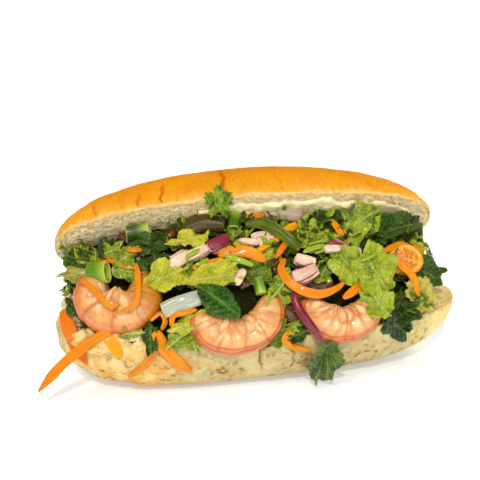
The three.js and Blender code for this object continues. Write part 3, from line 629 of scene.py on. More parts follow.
# Arc length from the front rim, over the crust and over the crumb, for every point of a half
def rimDistance(grid, cutColumns):
    closed = np.concatenate([grid, grid[:, :1]], axis=1)
    steps = np.linalg.norm(np.diff(closed, axis=1), axis=-1)
    overCrumb = np.concatenate([np.zeros((len(grid), 1)), np.cumsum(steps[:, :-1], axis=1)], axis=1)
    overCrust = np.cumsum(steps[:, ::-1], axis=1)[:, ::-1]
    isCut = np.arange(grid.shape[1]) < cutColumns
    return np.where(isCut, -overCrumb, overCrust)


# Outward normals of a grid of rings, from the cross product of its two directions
def gridNormals(grid):
    along = np.gradient(grid, axis=0)
    around = np.roll(grid, -1, axis=1) - np.roll(grid, 1, axis=1)
    normals = unit(np.cross(around, along))
    middle = grid.mean(axis=1, keepdims=True)
    facing = np.sign(np.sum(normals * (grid - middle)))
    return normals * facing


# Draws the columns near both rims towards the middle of their neighbours, in some passes.
def softenRim(grid, cutColumns, passes, reach=5, share=0.7):
    columns = np.arange(grid.shape[1])
    fromFront = np.minimum(columns, grid.shape[1] - columns)
    fromBack = np.abs(columns - cutColumns)
    weight = np.clip(1 - np.minimum(fromFront, fromBack) / reach, 0, 1)[:, None]
    for _ in range(passes):
        smooth = (np.roll(grid, 1, axis=1) + np.roll(grid, -1, axis=1)) / 2
        grid = lerp(grid, smooth, weight * share)
    return grid


# The relief of a half. On the crumb, pores of three sizes; on the crust, broad lumps, fine wrinkles
# across the rim and a few cracks, each a narrow valley that wanders as it climbs.
def breadRelief(grid, cutColumns, cracks, seed, leftLumps):
    rim = rimDistance(grid, cutColumns)
    torn = noiseLayers(grid, seed, (0.8, 2.2), (0.7, 7))
    crumb = 1 - smoothStep(rim + torn, 0.0, 1.4)
    stretched = grid * roll["stretch"]
    pores = 0.45 * poreField(grid, 4.2, seed, 0.2, 0.62) + 0.5 * poreField(grid, 2.2, seed + 3, 0.2, 0.7)
    rough = 0.3 * latticeNoise(stretched, 1.5, seed + 5) + 0.25 * latticeNoise(grid, 3.1, seed + 6)
    crumbRelief = -roll["crumbDepth"] * (pores - 0.35) * 0.6 + rough
    lumps = noiseLayers(grid, seed + 7, (1, 26), (0.35, 9))
    near = np.exp(-np.maximum(rim, 0) / roll["wrinkleReach"])
    wrinkles = near * latticeNoise(stretched, 3.4, seed + 9) * roll["wrinkleHeight"]
    grain = noiseLayers(grid, seed + 10, (0.12, 1.6), (0.1, 4))
    lumpy = smoothStep(-grid[..., 0], *roll["lumpsFrom"]) * leftLumps
    crust = roll["crustLumps"] * lumps * 0.6 + wrinkles + grain + lumpy * latticeNoise(grid, 6.5, seed + 12)
    cracked = np.zeros(rim.shape)
    for along, climb, depth in cracks:
        wander = along + 1.1 * np.sin(rim * 0.24 + along) + 0.35 * np.sin(rim * 0.9)
        narrow = bell(grid[..., 0], wander, roll["crackWidth"])
        fadeOut = (1 - smoothStep(rim, climb * 0.6, climb)) * smoothStep(rim, 0.5, 3)
        cracked = np.maximum(cracked, narrow * fadeOut * depth)
    relief = lerp(crust - roll["crackDepth"] * cracked, crumbRelief, crumb)
    return relief, crumb, rim, cracked


# One half: its section carried along the stations, with relief that fades at the very ends
def breadHalf(ends, place, cracks, seed, leftLumps, rows=330, cutColumns=66, crustColumns=116):
    along = rollStations(ends, rows)[:, None]
    across, depth = sectionShares(cutColumns, crustColumns)
    grid = place(along, across, depth)
    grid = softenRim(grid, cutColumns, roll["rimRound"])
    relief, crumb, rim, cracked = breadRelief(grid, cutColumns, cracks, seed, leftLumps)
    middle, half = middleAndHalf(ends)
    calm = 1 - smoothStep(np.abs(along - middle) / half, 0.985, 1.0)
    grid = grid + gridNormals(grid) * (relief * calm)[..., None]
    grid[..., 2] = np.maximum(grid[..., 2], 0.02)
    # The crack mask carries painted shade into the colour of the cracks
    masks = {"crumb": crumb, "rim": np.exp(-np.abs(rim) / 4), "crack": cracked}
    return ringShell(grid, masks)


def makeRoll(finish):
    def upperPlace(along, across, depth):
        width, height, spring = upperSize(along)
        return upperPoint(along, across * width, depth * height, spring)

    def lowerPlace(along, across, depth):
        width, height = lowerSize(along)
        return lowerPoint(along, across * width, depth * height)

    upper = breadHalf(roll["upperEnds"], upperPlace, roll["cracks"], 3, 0.25)
    lower = breadHalf(roll["lowerEnds"], lowerPlace, roll["splits"], 41, 0.9)
    makePiece("roll_upper_half", upper, finish, "roll")
    makePiece("roll_lower_half", lower, finish, "roll")
    makePiece("roll_hinge", hingeShell(), finish, "roll")
    makePiece("roll_torn_web", [tornFlap(*flap) for flap in roll["flaps"]], finish, "roll")


# A torn flap at the end of the mouth: an ellipsoid with lumps, and pores where it is crumb
def tornFlap(centre, sizes, seed, crumb):
    shell = lumpShell(np.array(centre, float), np.eye(3), sizes, seed, 60, 90, 0.3)
    points = shell["points"]
    relief = 0.9 * latticeNoise(points, 2.6, seed) - crumb * poreField(points, 3.2, seed)
    shell["points"] = points + unit(points - np.array(centre, float)) * relief[:, None]
    shell["masks"] = {"crumb": np.full(len(points), crumb), "rim": np.zeros(len(points))}
    return shell


hinge = {
    "inset": 3.5,  # from each back rim to the ends of the bar's middle line
    "drop": 4.0,
    "overlap": 6.0,
    "thick": 5.0,
    "edge": 1.5,
    "lumps": 1.2,
    "pores": 1.4,
    "rimTint": 0.35,
}


# The uncut hinge: an oval bar of crumb and crust between the two back rims. Its major axis runs from
# one rim to the other, and its front side is torn crumb.
def hingeShell(rows=170, columns=66):
    along = np.linspace(*roll["webReach"], rows)
    lowerWidth, _ = lowerSize(along)
    upperWidth, _, spring = upperSize(along)
    level = np.full(rows, roll["cutHeight"] - hinge["drop"])
    low = np.stack([along, lowerWidth - hinge["inset"], level], -1)
    high = upperPoint(along, hinge["inset"] - upperWidth, hinge["drop"], spring)
    rise = unit(high - low)
    aside = np.cross(np.array([1.0, 0, 0]), rise)
    shrink = np.sqrt(np.maximum(1 - np.abs(np.linspace(-1, 1, rows))[:, None] ** 12, 0.02))
    major = (np.linalg.norm(high - low, axis=-1) / 2 + hinge["overlap"])[:, None] * shrink
    angle = fullTurn(columns)
    middle = ((low + high) / 2)[:, None]
    grid = middle + rise[:, None] * (major * np.cos(angle))[..., None]
    grid = grid + aside[:, None] * (hinge["thick"] * shrink * np.sin(angle))[..., None]
    front = smoothStep(-(aside[:, None] * (grid - middle)).sum(-1), -hinge["edge"], hinge["edge"])
    facing = np.sign(aside[:, None, 1] + 0 * front)
    crumb = np.where(facing > 0, front, 1 - front)
    relief = crumb * (latticeNoise(grid, 3, 71) * hinge["lumps"] - hinge["pores"] * poreField(grid, 4, 72))
    relief = relief + (1 - crumb) * 0.5 * latticeNoise(grid * np.array([1, 0.3, 0.3]), 6, 73)
    grid = grid + gridNormals(grid) * relief[..., None]
    return ringShell(grid, {"crumb": crumb, "rim": np.full((1, 1), hinge["rimTint"]), "crack": 0 * crumb})


# Colours of the bread. Where two stand alone they are blended in patches; each tint after them is
# laid over the mask of its name, with its share.
breadLook = {
    "shader": {"roughness": 0.55, "shine": 0.04, "glow": 0.03, "glowColour": (1.0, 0.6, 0.3), "reach": 2.0},
    "bump": (0.32, 0.75),
    "crustRoughness": 0.45,
    "crumbRoughness": 0.9,
    # size of each kind of patch, and the levels of noise between which it fades in
    "patches": {
        "broad": (24.0, 0.36, 0.64), "medium": (8.0, 0.42, 0.62), "fine": (2.6, 0.38, 0.66),
        "dust": (0.9, 0.45, 0.7), "grain": (0.7, 0.3, 0.7), "flecks": (3.0, 0.55, 0.63),
        "clusters": (17.0, 0.48, 0.56), "runs": (13.0, 0.5, 0.6),
    },
    "wrinkles": (2.2, 0.3, 0.7),
    # where tints fade in: along the roll from its middle, up from the floor, and over the hinge's slope
    "zones": {
        "ends": (50, 100), "rightHalf": (0, 50), "leftEnd": (-35, -70), "nose": (66, 90),
        "rightEnd": (86, 97), "top": (12, 30), "underside": (11, 1), "stain": (32, 12), "crown": (22, 54),
    },
    "stainMiddle": -55.0,
    "upper": ("#ea9800", "#e38400"),
    "upperTints": {
        "medium": ("#ea9800", 0.4), "rim": ("#f6ad24", 0.8), "ends": ("#f6ad24", 0.7),
        # wrinkles: painted highlight, pale streaks along the wrinkle ridges near the rim
        "fine": ("#e38400", 0.35), "dust": ("#f6ad24", 0.55), "wrinkles": ("#fcd070", 0.7),
        # painted shade in the cracks
        "crack": ("#c06200", 0.8),
    },
    "lower": ("#d6c083", "#bcae7c"),
    "lowerTints": {"rightHalf": ("#bcae7c", 0.6), "medium": ("#eadca4", 0.4)},
    "leftEnd": ("#f6bd50", "#f8dd98"),
    "lowerMarks": {
        "nose": ("#ffe08a", 1), "fine": ("#eadca4", 0.3), "toasted": ("#86500f", 0.8),
        # top is painted light: the lower crust lighter towards its top. underside, on the next line, is
        # painted shade: darker towards the floor
        "blisters": ("#86500f", 0.6), "where": ("#b97d2c", 0.22), "top": ("#eadca4", 0.4),
        # the last tint of the next line is painted shade in the splits
        "underside": ("#b97d2c", 0.55), "drips": ("#e2901a", 0.5), "crack": ("#8a6828", 0.75),
    },
    "crumb": ("#f4daa6", "#fff2d0"),
    # pores: painted shade in the crumb's holes
    "crumbTints": {"pores": ("#b08c50", 0.45), "rightEnd": ("#f8dd98", 0.85), "rim": ("#f6bd50", 0.6)},
    # where the oven marked the lower crust: centre and radius
    "toastedSpots": [
        ((52, -36, 18), 17), ((-72, -35, 17), 15), ((-50, -36, 9), 13), ((-20, -37, 14), 12),
        ((20, -37, 20), 10), ((-84, -26, 12), 12), ((74, -30, 14), 9),
    ],
}


# 1 in the clusters and round each of the toasted spots
def toastedWhere(tree, spot, clusters):
    where = clusters
    for centre, radius in breadLook["toastedSpots"]:
        gap = addNode(tree, "VectorMath", {0: spot, 1: [part * mm for part in centre]}, operation="DISTANCE")
        near = zone(tree, gap.outputs["Value"], (radius, 0.35 * radius))
        where = reckon(tree, "MAXIMUM", where, near)
    return where


# Crust and crumb. The upper crust is golden orange, deeper in patches over the crown and lighter near
# the rim and the ends, with painted highlights as pale streaks on its wrinkles and painted shade in its
# cracks. The lower crust is tan, golden at the left end, with toasted specks in clusters, painted light
# towards its top, and painted shade towards the floor and in its splits. The crumb is cream with painted
# shade in its pores.
def breadFinish():
    look, zones = breadLook, breadLook["zones"]
    material, tree = newFinish("bread", **look["shader"])
    spot = objectSpot(tree)
    along, _, level = addNode(tree, "SeparateXYZ", {"Vector": spot}).outputs
    masks = manyPatches(tree, spot, look["patches"])
    stretched = addNode(tree, "Mapping", {"Vector": spot, "Scale": (1.0, 0.3, 0.3)}).outputs[0]
    wrinkles = patches(tree, stretched, *look["wrinkles"])
    # Painted highlight: pale streaks where the wrinkle pattern crosses the rim band
    masks["wrinkles"] = multiply(tree, readMask(tree, "rim"), wrinkles)
    masks["ends"] = zone(tree, reckon(tree, "ABSOLUTE", along), zones["ends"])
    masks |= {name: zone(tree, along, zones[name]) for name in ("rightHalf", "nose", "rightEnd")}
    # Painted light and shade by height: the lower crust lighter towards its top, darker towards the floor
    masks |= {name: zone(tree, level, zones[name]) for name in ("top", "underside")}
    masks["where"] = toastedWhere(tree, spot, masks["clusters"])
    masks["toasted"] = multiply(tree, masks["flecks"], masks["where"])
    blisters = useGroup(tree, "specks", Spot=spot, Spacing=8.0, Share=0.25)
    masks["blisters"] = multiply(tree, blisters, masks["where"])
    aside = reckon(tree, "ABSOLUTE", add(tree, along, -look["stainMiddle"] * mm))
    masks["drips"] = multiply(tree, zone(tree, aside, zones["stain"]), masks["runs"])
    # Pores: painted shade in the crumb's colour, and sunk in its relief
    masks["pores"] = useGroup(tree, "specks", Spot=spot, Spacing=2.2, Share=0.42)

    upper = layTints(tree, blendColours(tree, masks["broad"], *look["upper"]), look["upperTints"], **masks)
    lower = layTints(tree, blendColours(tree, masks["broad"], *look["lower"]), look["lowerTints"], **masks)
    golden = blendColours(tree, masks["medium"], *look["leftEnd"])
    lower = blendColours(tree, zone(tree, along, zones["leftEnd"]), lower, golden)
    lower = layTints(tree, lower, look["lowerMarks"], **masks)
    inside = layTints(tree, blendColours(tree, masks["fine"], *look["crumb"]), look["crumbTints"], **masks)
    # The crown side of the roll is above the cut and behind the hinge's slope.
    over = addNode(tree, "VectorMath", {0: spot, 1: (0.0, 0.5, 1.0)}, operation="DOT_PRODUCT")
    crust = blendColours(tree, zone(tree, over.outputs["Value"], zones["crown"]), lower, upper)

    crumb = readMask(tree, "crumb")
    skin = add(tree, multiply(tree, masks["grain"], 0.7), multiply(tree, wrinkles, 0.6))
    skin = reckon(tree, "SUBTRACT", skin, masks["toasted"])
    torn = reckon(tree, "SUBTRACT", multiply(tree, masks["grain"], 1.6), multiply(tree, masks["pores"], 1.6))
    height = addNode(tree, "Mix", {0: crumb, 2: skin, 3: torn}).outputs[0]
    rough = spread(tree, crumb, look["crustRoughness"], look["crumbRoughness"])
    return dress(material, blendColours(tree, crumb, crust, inside), height, *look["bump"], Roughness=rough)


# The mouth of the roll: a plane through the front rims of the two halves. A place on the filling is
# [along the roll, up across the mouth, lift off the heap].

mouth = {
    "up": np.array([0.0, np.cos(roll["openAngle"]), np.sin(roll["openAngle"])]),
    "out": np.array([0.0, -np.sin(roll["openAngle"]), np.cos(roll["openAngle"])]),
    "reach": (-99.0, 94.0),
    "bulge": 6.0,
    "setback": 16.0,  # how deep the heap lies under the upper rim
    "back": -52.0,
    "lip": -33.0,  # below this a prawn hangs straight down
    "turnOver": 6.0,  # how far below the rim the normal has turned to the crust's
}
mouthHalf = (roll["halfWidth"] + roll["hingeLine"]) / 2
mouth["centre"] = np.array([0.0, -roll["halfWidth"], roll["cutHeight"]]) + mouth["up"] * mouthHalf


# Where the two cuts meet the mouth plane at a station, as (up, out) of the lower and the upper rim
def mouthRims(along):
    width, _ = lowerSize(along)
    upperWidth, _, spring = upperSize(along)
    low = np.stack([0 * along, -width, roll["cutHeight"] + 0 * along], -1) - mouth["centre"]
    high = upperPoint(0 * along, upperWidth, 0 * along, spring) - mouth["centre"]
    return (low @ mouth["up"], low @ mouth["out"]), (high @ mouth["up"], high @ mouth["out"])


# level = low + 1 to high - setback by share^1.3, plus a sine bulge that fades towards the ends
def heapSurface(along, up):
    (lowUp, lowOut), (highUp, highOut) = mouthRims(along)
    share = np.clip((up - lowUp) / (highUp - lowUp), 0, 1)
    level = lerp(lowOut + 1, highOut - mouth["setback"], share ** 1.3)
    return level + mouth["bulge"] * np.sin(np.pi * share) * (1 - (along / 100) ** 2)


# The point and outward normal of a place. Below the lower rim, up counts down the front of the crust.
def place(spots):
    along, up, lift = np.moveaxis(np.asarray(spots, float), -1, 0)
    station = np.clip(along, *mouth["reach"])
    (lowUp, _), _ = mouthRims(station)
    out = heapSurface(station, up) + lift
    onHeap = mouth["centre"] + up[..., None] * mouth["up"] + out[..., None] * mouth["out"]
    onHeap[..., 0] = along
    width, depth = lowerSize(station)
    power = roll["sectionPower"]
    drop = np.maximum(lowUp - up, 0)
    share = np.minimum(drop / depth, 0.995)
    side = -width * (1 - share ** power) ** (1 / power)
    steep = [0 * side, -(np.abs(side / width) ** (power - 1)) / width, -(share ** (power - 1)) / depth]
    slope = np.stack(steep, -1)
    turned = np.minimum(drop / mouth["turnOver"], 1)[..., None]
    normal = unit(lerp(mouth["out"], unit(slope), turned))
    onCrust = np.stack([along, side, roll["cutHeight"] - drop], -1) + normal * lift[..., None]
    below = (up < lowUp)[..., None]
    return np.where(below, onCrust, onHeap), np.where(below, normal, mouth["out"] + 0 * normal)


# A smooth line through a few points: a Catmull-Rom curve sampled at even shares of its length
def smoothLine(points, count):
    points = np.asarray(points, float)
    padded = np.vstack([2 * points[0] - points[1], points, 2 * points[-1] - points[-2]])
    spans = len(points) - 1
    run = np.linspace(0, spans, 40 * spans + 1)
    cell = np.minimum(run.astype(int), spans - 1)
    share = (run - cell)[:, None]
    a, b, c, d = padded[cell], padded[cell + 1], padded[cell + 2], padded[cell + 3]
    line = 2 * b + (c - a) * share + (2 * a - 5 * b + 4 * c - d) * share ** 2
    line = (line + (3 * b - a - 3 * c + d) * share ** 3) / 2
    length = np.append(0, np.cumsum(np.linalg.norm(np.diff(line, axis=0), axis=1)))
    even = np.linspace(0, length[-1], count)
    return np.stack([np.interp(even, length, line[:, axis]) for axis in range(3)], -1)


# Points, side and outward directions along a route on the filling, or along a free one in the frame
def routeFrames(route, count, free=False):
    line = smoothLine(route, count)
    points, normal = (line, mouth["out"] + 0 * line) if free else place(line)
    ahead = unit(np.gradient(points, axis=0))
    side = unit(np.cross(ahead, normal))
    return points, side, np.cross(side, ahead)


# A profile carried along a route: a superellipse of half width and half thickness, bowed across,
# grooved lengthwise, turned by lean and twist in degrees, and rounded off at both ends. It tapers to
# shares of its width over the first 0.3 and the last 0.4 of its length. The masks hold the run in
# millimetres, the share across, how near an end is, and a tone of the strip's own.
def stripShell(route, width, thick, taper=(0.5, 0.4), lean=0.0, free=False, power=2.6, bow=0.0,
               columns=22, spacing=0.8, twist=0.0, wobble=0.06, capLength=0.6, groove=0.0, seed=0,
               offset=0.0, edgeReach=1.5):
    length = np.linalg.norm(np.diff(smoothLine(route, 40), axis=0), axis=1).sum()
    points, side, out = routeFrames(route, int(np.clip(length / spacing, 12, 90)), free)
    share = np.linspace(0, 1, len(points))
    ease = np.clip(np.minimum(np.minimum(share / 0.3, 1), (1 - share) / 0.4), 0, 1)
    end = np.where(share < 0.5, taper[0], taper[1])
    half = width / 2 * lerp(end, 1.0, np.sin(ease * np.pi / 2))
    half = half * (1 + wobble * latticeNoise(points, 4.5, seed))
    edge = np.minimum(share, 1 - share) * length
    nearCap = np.clip(edge / capLength, 0.03, 1)
    cap = np.sqrt(nearCap * (2 - nearCap))
    angle = np.radians(lean) + np.radians(twist) * (share - 0.5)
    flat = side * np.cos(angle)[:, None] + out * np.sin(angle)[:, None]
    rise = out * np.cos(angle)[:, None] - side * np.sin(angle)[:, None]
    across = signedPower(np.cos(fullTurn(columns)), 2 / power)
    tall = signedPower(np.sin(fullTurn(columns)), 2 / power)
    xs = across * (half * cap)[:, None]
    ys = tall * (thick / 2 * cap)[:, None] + bow * (1 - across ** 2) + offset
    lines = np.stack([across * 2.6 + 0 * xs, 0.04 * share[:, None] * length + 0 * xs, tall + 0 * xs], -1)
    ys = ys + groove * latticeNoise(lines, 1.0, seed + 7) * np.abs(tall) * cap[:, None]
    grid = points[:, None] + flat[:, None] * xs[..., None] + rise[:, None] * ys[..., None]
    return ringShell(grid, {
        "run": (share * length)[:, None],
        "across": across[None],
        "edge": np.clip(1 - edge / edgeReach, 0, 1)[:, None],
        "tone": latticeNoise(points.mean(0)[None, None], 1.0, seed + 5),
    })


# A soft lump: an ellipsoid with noise on its radius, turned to its axes
def lumpShell(centre, axes, sizes, seed, rows, columns, rough):
    ball = ballPoints(rows, columns, 0.12)
    swell = 1 + rough * latticeNoise(ball * 1.7 + seed * 3.1, 1.0, seed)
    return ringShell(centre + (ball * swell[..., None] * np.asarray(sizes)) @ np.asarray(axes))


# Axes of a place on the filling, as rows: along a heading, beside it, and out. Degrees.
def placeAxes(spot, heading=0.0, tilt=0.0, bank=0.0):
    spot = np.asarray(spot, float)
    point, normal = place(spot)
    climb = unit(place(spot + [0, 0.5, 0])[0] - point)
    across = unit(np.cross(climb, normal))
    radians = np.radians(heading)
    ahead = across * np.cos(radians) + climb * np.sin(radians)
    out = unit(np.cross(across, climb))
    out = out * np.sign(out @ normal)
    side = unit(np.cross(out, ahead))
    ahead, out = turnAbout(ahead, side, -tilt), turnAbout(out, side, -tilt)
    side, out = turnAbout(side, ahead, bank), turnAbout(out, ahead, bank)
    return point, np.stack([ahead, side, out])


# Leaves

leafForm = {
    "clearance": 0.4,  # above the floor
    "ribPitch": 3.2,
    "ribSlant": 0.9,
    "blisterSize": 2.9,
    "swaySize": 6.5,
    "crinkle": (0.3, 1.5),  # height and size
    # The next height above the leaf's mean gives full painted light in its tone mask: higher parts brighter,
    # hollows darker
    "fullLightHeight": 2.4,  # the height that counts as fully raised, for the leaf's tone
}
leafLook = {
    "shader": {"roughness": 0.36, "coatRoughness": 0.06, "shine": 0.3},
    "patches": {"soft": (5.5, 0.3, 0.7), "grain": (1.1, 0.3, 0.7)},
    "veinSpacing": 3.0,
    "stalk": 9.0,
    "fanCount": 3.2,
    "webSize": 2.4,
    "webWidth": 0.035,
}


# A triangle wave from -0.5 to 0.5
def sawTooth(phase):
    return 0.5 - 2 * np.abs(phase / (2 * np.pi) % 1 - 0.5)


# One leaf on polar rings about its middle, as a thin closed skin. Its edge is
#   torn: 1 + notch cos(lobes a) with ragged noise, for lettuce scraps
#   fan: deep rounded lobes with teeth, narrow at the stalk, for cilantro and parsley
#   oval: pointed at both ends with fine teeth, for mint
# Its height is a cup, a slow wave, a ruffle that grows towards the edge, a fold along the midrib,
# a bend along its length, a curling edge, a sway, and blisters between sharp grooves.
def leafShell(at, heading, length, width, kind="torn", lobes=5, notch=0.14, wave=1.2, cup=1.0, tilt=0.0,
              bank=0.0, ruffle=1.0, frills=9, fold=0.0, bend=0.0, blister=0.7, sway=1.6, tooth=0.05, teeth=26,
              curl=1.6, tone=0.0, thick=0.4, rings=13, sectors=54, seed=0, frame=None):
    point, axes = frame or placeAxes(at, heading, tilt, bank)
    turn = fullTurn(sectors)[None]
    reach = np.linspace(0.04, 1, rings)[:, None] ** 0.85
    circle = np.stack([np.cos(turn[0]), np.sin(turn[0]), np.full(sectors, seed * 0.37)], -1)
    if kind == "torn":
        edge = 1 + notch * np.cos(lobes * turn + seed) + 0.2 * latticeNoise(circle * 2.2, 1.0, seed)
        jag = latticeNoise(circle * 5, 1.0, seed + 1)
        edge = edge + 0.1 * jag + 1.5 * tooth * sawTooth(teeth * turn + 4 * jag)
    elif kind == "fan":
        lobe = np.abs(np.cos(lobes / 2 * turn)) ** 0.4
        edge = 1 - 2.4 * notch * (1 - lobe) + 2 * tooth * sawTooth(teeth * turn)
        edge = edge * (1 + 0.12 * latticeNoise(circle * 1.5, 1.0, seed))
        edge = edge * (1 - 0.5 * bell(turn, np.pi, 0.45))
    else:
        edge = (1 - 0.16 * np.abs(np.sin(2 * turn)) ** 1.5) + tooth * np.abs(np.sin(teeth / 2 * turn))
    radius = reach * lerp(1.0, edge, reach)
    along = radius * np.cos(turn) * length / 2
    across = radius * np.sin(turn) * width / 2
    # The noise is read on a turned copy of the leaf, so that its lattice never shows.
    flat = np.stack([along, across, np.full(along.shape, seed * 5.3)], -1)
    flat = turnAbout(turnAbout(flat, np.array([1.0, 0, 0]), 37), np.array([0, 0, 1.0]), 26)
    height = cup * reach ** 2 + wave * reach ** 2 * np.sin(3 * turn + at[0])
    height = height + ruffle * reach ** 3 * np.sin(frills * turn + 2.1 * seed + 0.8 * np.sin(2 * turn))
    height = height + fold * np.abs(across) / (width / 2) * 2 + bend * (along / (length / 2)) ** 2
    slanted = along + leafForm["ribSlant"] * np.abs(across)
    chevron = np.abs((slanted / leafForm["ribPitch"]) % 1 - 0.5) * 2
    height = height + blister * (chevron - 0.5) * smoothStep(np.abs(across), 0.2, 1.6)
    bubbles = np.abs(latticeNoise(flat, leafForm["blisterSize"], seed + 3))
    height = height + 1.5 * blister * bubbles - 0.5 * blister
    height = height + curl * smoothStep(reach, 0.5, 1.0) * latticeNoise(circle * 1.4, 1.0, seed + 8) * 1.6
    rise, size = leafForm["crinkle"]
    height = height + sway * latticeNoise(flat, leafForm["swaySize"], seed + 4)
    height = height + rise * latticeNoise(flat, size, seed + 6)
    half = thick / 2 * (1 - reach ** 8) + 0.05
    top = np.stack([along, across, height + half], -1)
    below = np.stack([along, across, height - half], -1)
    grid = point + np.vstack([top, below[::-1]]) @ axes
    grid[..., 2] = np.maximum(grid[..., 2], leafForm["clearance"])
    # Painted light in the tone mask: the leaf brighter where it stands higher, darker in its hollows
    paintedHeightLight = np.clip((height - height.mean()) / leafForm["fullLightHeight"], -1, 1)
    masks = {"run": along, "across": across, "reach": reach, "tone": tone + 0.5 * paintedHeightLight}
    wide = {name: np.broadcast_to(mask, along.shape) for name, mask in masks.items()}
    return ringShell(grid, {name: np.vstack([mask, mask[::-1]]) for name, mask in wide.items()})


# Leaf colour runs from a deep tone to a bright one in soft patches and with the tone mask, which holds
# each leaf's own tone and painted light, brighter where the leaf stands higher and darker in its hollows;
# the ribs and a fine web of veins are paler, and the edge is a little lighter.
def leafFinish(name, deep, bright, vein, spacing=leafLook["veinSpacing"], fan=False, gloss=0.35, relief=0.75):
    look = leafLook
    material, tree = newFinish(name, coat=gloss, **look["shader"])
    spot = objectSpot(tree)
    line = {"Along": readMask(tree, "run"), "Across": readMask(tree, "across")}
    if fan:
        ribs = useGroup(tree, "fans", Stalk=look["stalk"], Count=look["fanCount"], **line)
    else:
        ribs = useGroup(tree, "veins", Spacing=spacing, **line)
    fineVeins = useGroup(tree, "web", Spot=spot, Size=look["webSize"], Width=look["webWidth"])
    lines = reckon(tree, "MAXIMUM", multiply(tree, ribs, 0.6), multiply(tree, fineVeins, 0.2))
    masks = manyPatches(tree, spot, look["patches"])
    # The tone mask holds each leaf's own tone and its painted light by height
    share = add(tree, multiply(tree, masks["soft"], 0.55), multiply(tree, readMask(tree, "tone"), 0.6))
    share = fade(tree, add(tree, share, multiply(tree, masks["grain"], 0.25)), -0.1, 0.95)
    surface = blendColours(tree, share, deep, bright)
    surface = layTints(tree, surface, {"rim": (bright, 0.4), "lines": (vein, 1)}, lines=lines,
                       rim=fade(tree, readMask(tree, "reach"), 0.85, 1.0))
    height = reckon(tree, "SUBTRACT", multiply(tree, masks["grain"], 1.1), multiply(tree, lines, 1.3))
    return dress(material, surface, height, relief, 0.8)


# Prawns

prawnForm = {
    "segments": 6,
    "length": 60.0,  # along the back
    "creaseDepth": 0.3,
    "creaseWidth": 0.065,  # as a share of a segment
    "muscleHeight": 0.8,
    "muscleLength": 5.6,
    "ridgeHeight": 0.4,
    "ridgeWidth": 0.065,  # in radians, as is the groove between the ridges
    "grooveWidth": 0.06,
    "grooveDepth": 0.5,
    "ridges": (0.52, 0.78),  # angles of the two ridge lines from the back, in radians
}
prawns = {
    "shrimp_left": {
        "middle": (-71.5, -8), "reach": (10.2, 7.4), "turn": (118, 408),
        "body": 12.4, "tail": 10.8, "depth": 0.66, "lift": 1.5, "ridge": 0.25, "amber": 1.0, "seed": 2,
    },
    "shrimp_middle": {
        "middle": (-16, -21.5), "reach": (15.6, 11.8), "turn": (172, 392),
        "body": 10.2, "tail": 8.2, "depth": 0.66, "lift": 1, "ridge": 1.0, "amber": 0.15, "seed": 5,
    },
    "shrimp_right": {
        "middle": (37, -22), "reach": (13.2, 10.4), "turn": (158, 385),
        "body": 9.8, "tail": 8.2, "depth": 0.66, "lift": 1, "ridge": 0.8, "amber": 0.1, "seed": 9,
    },
}


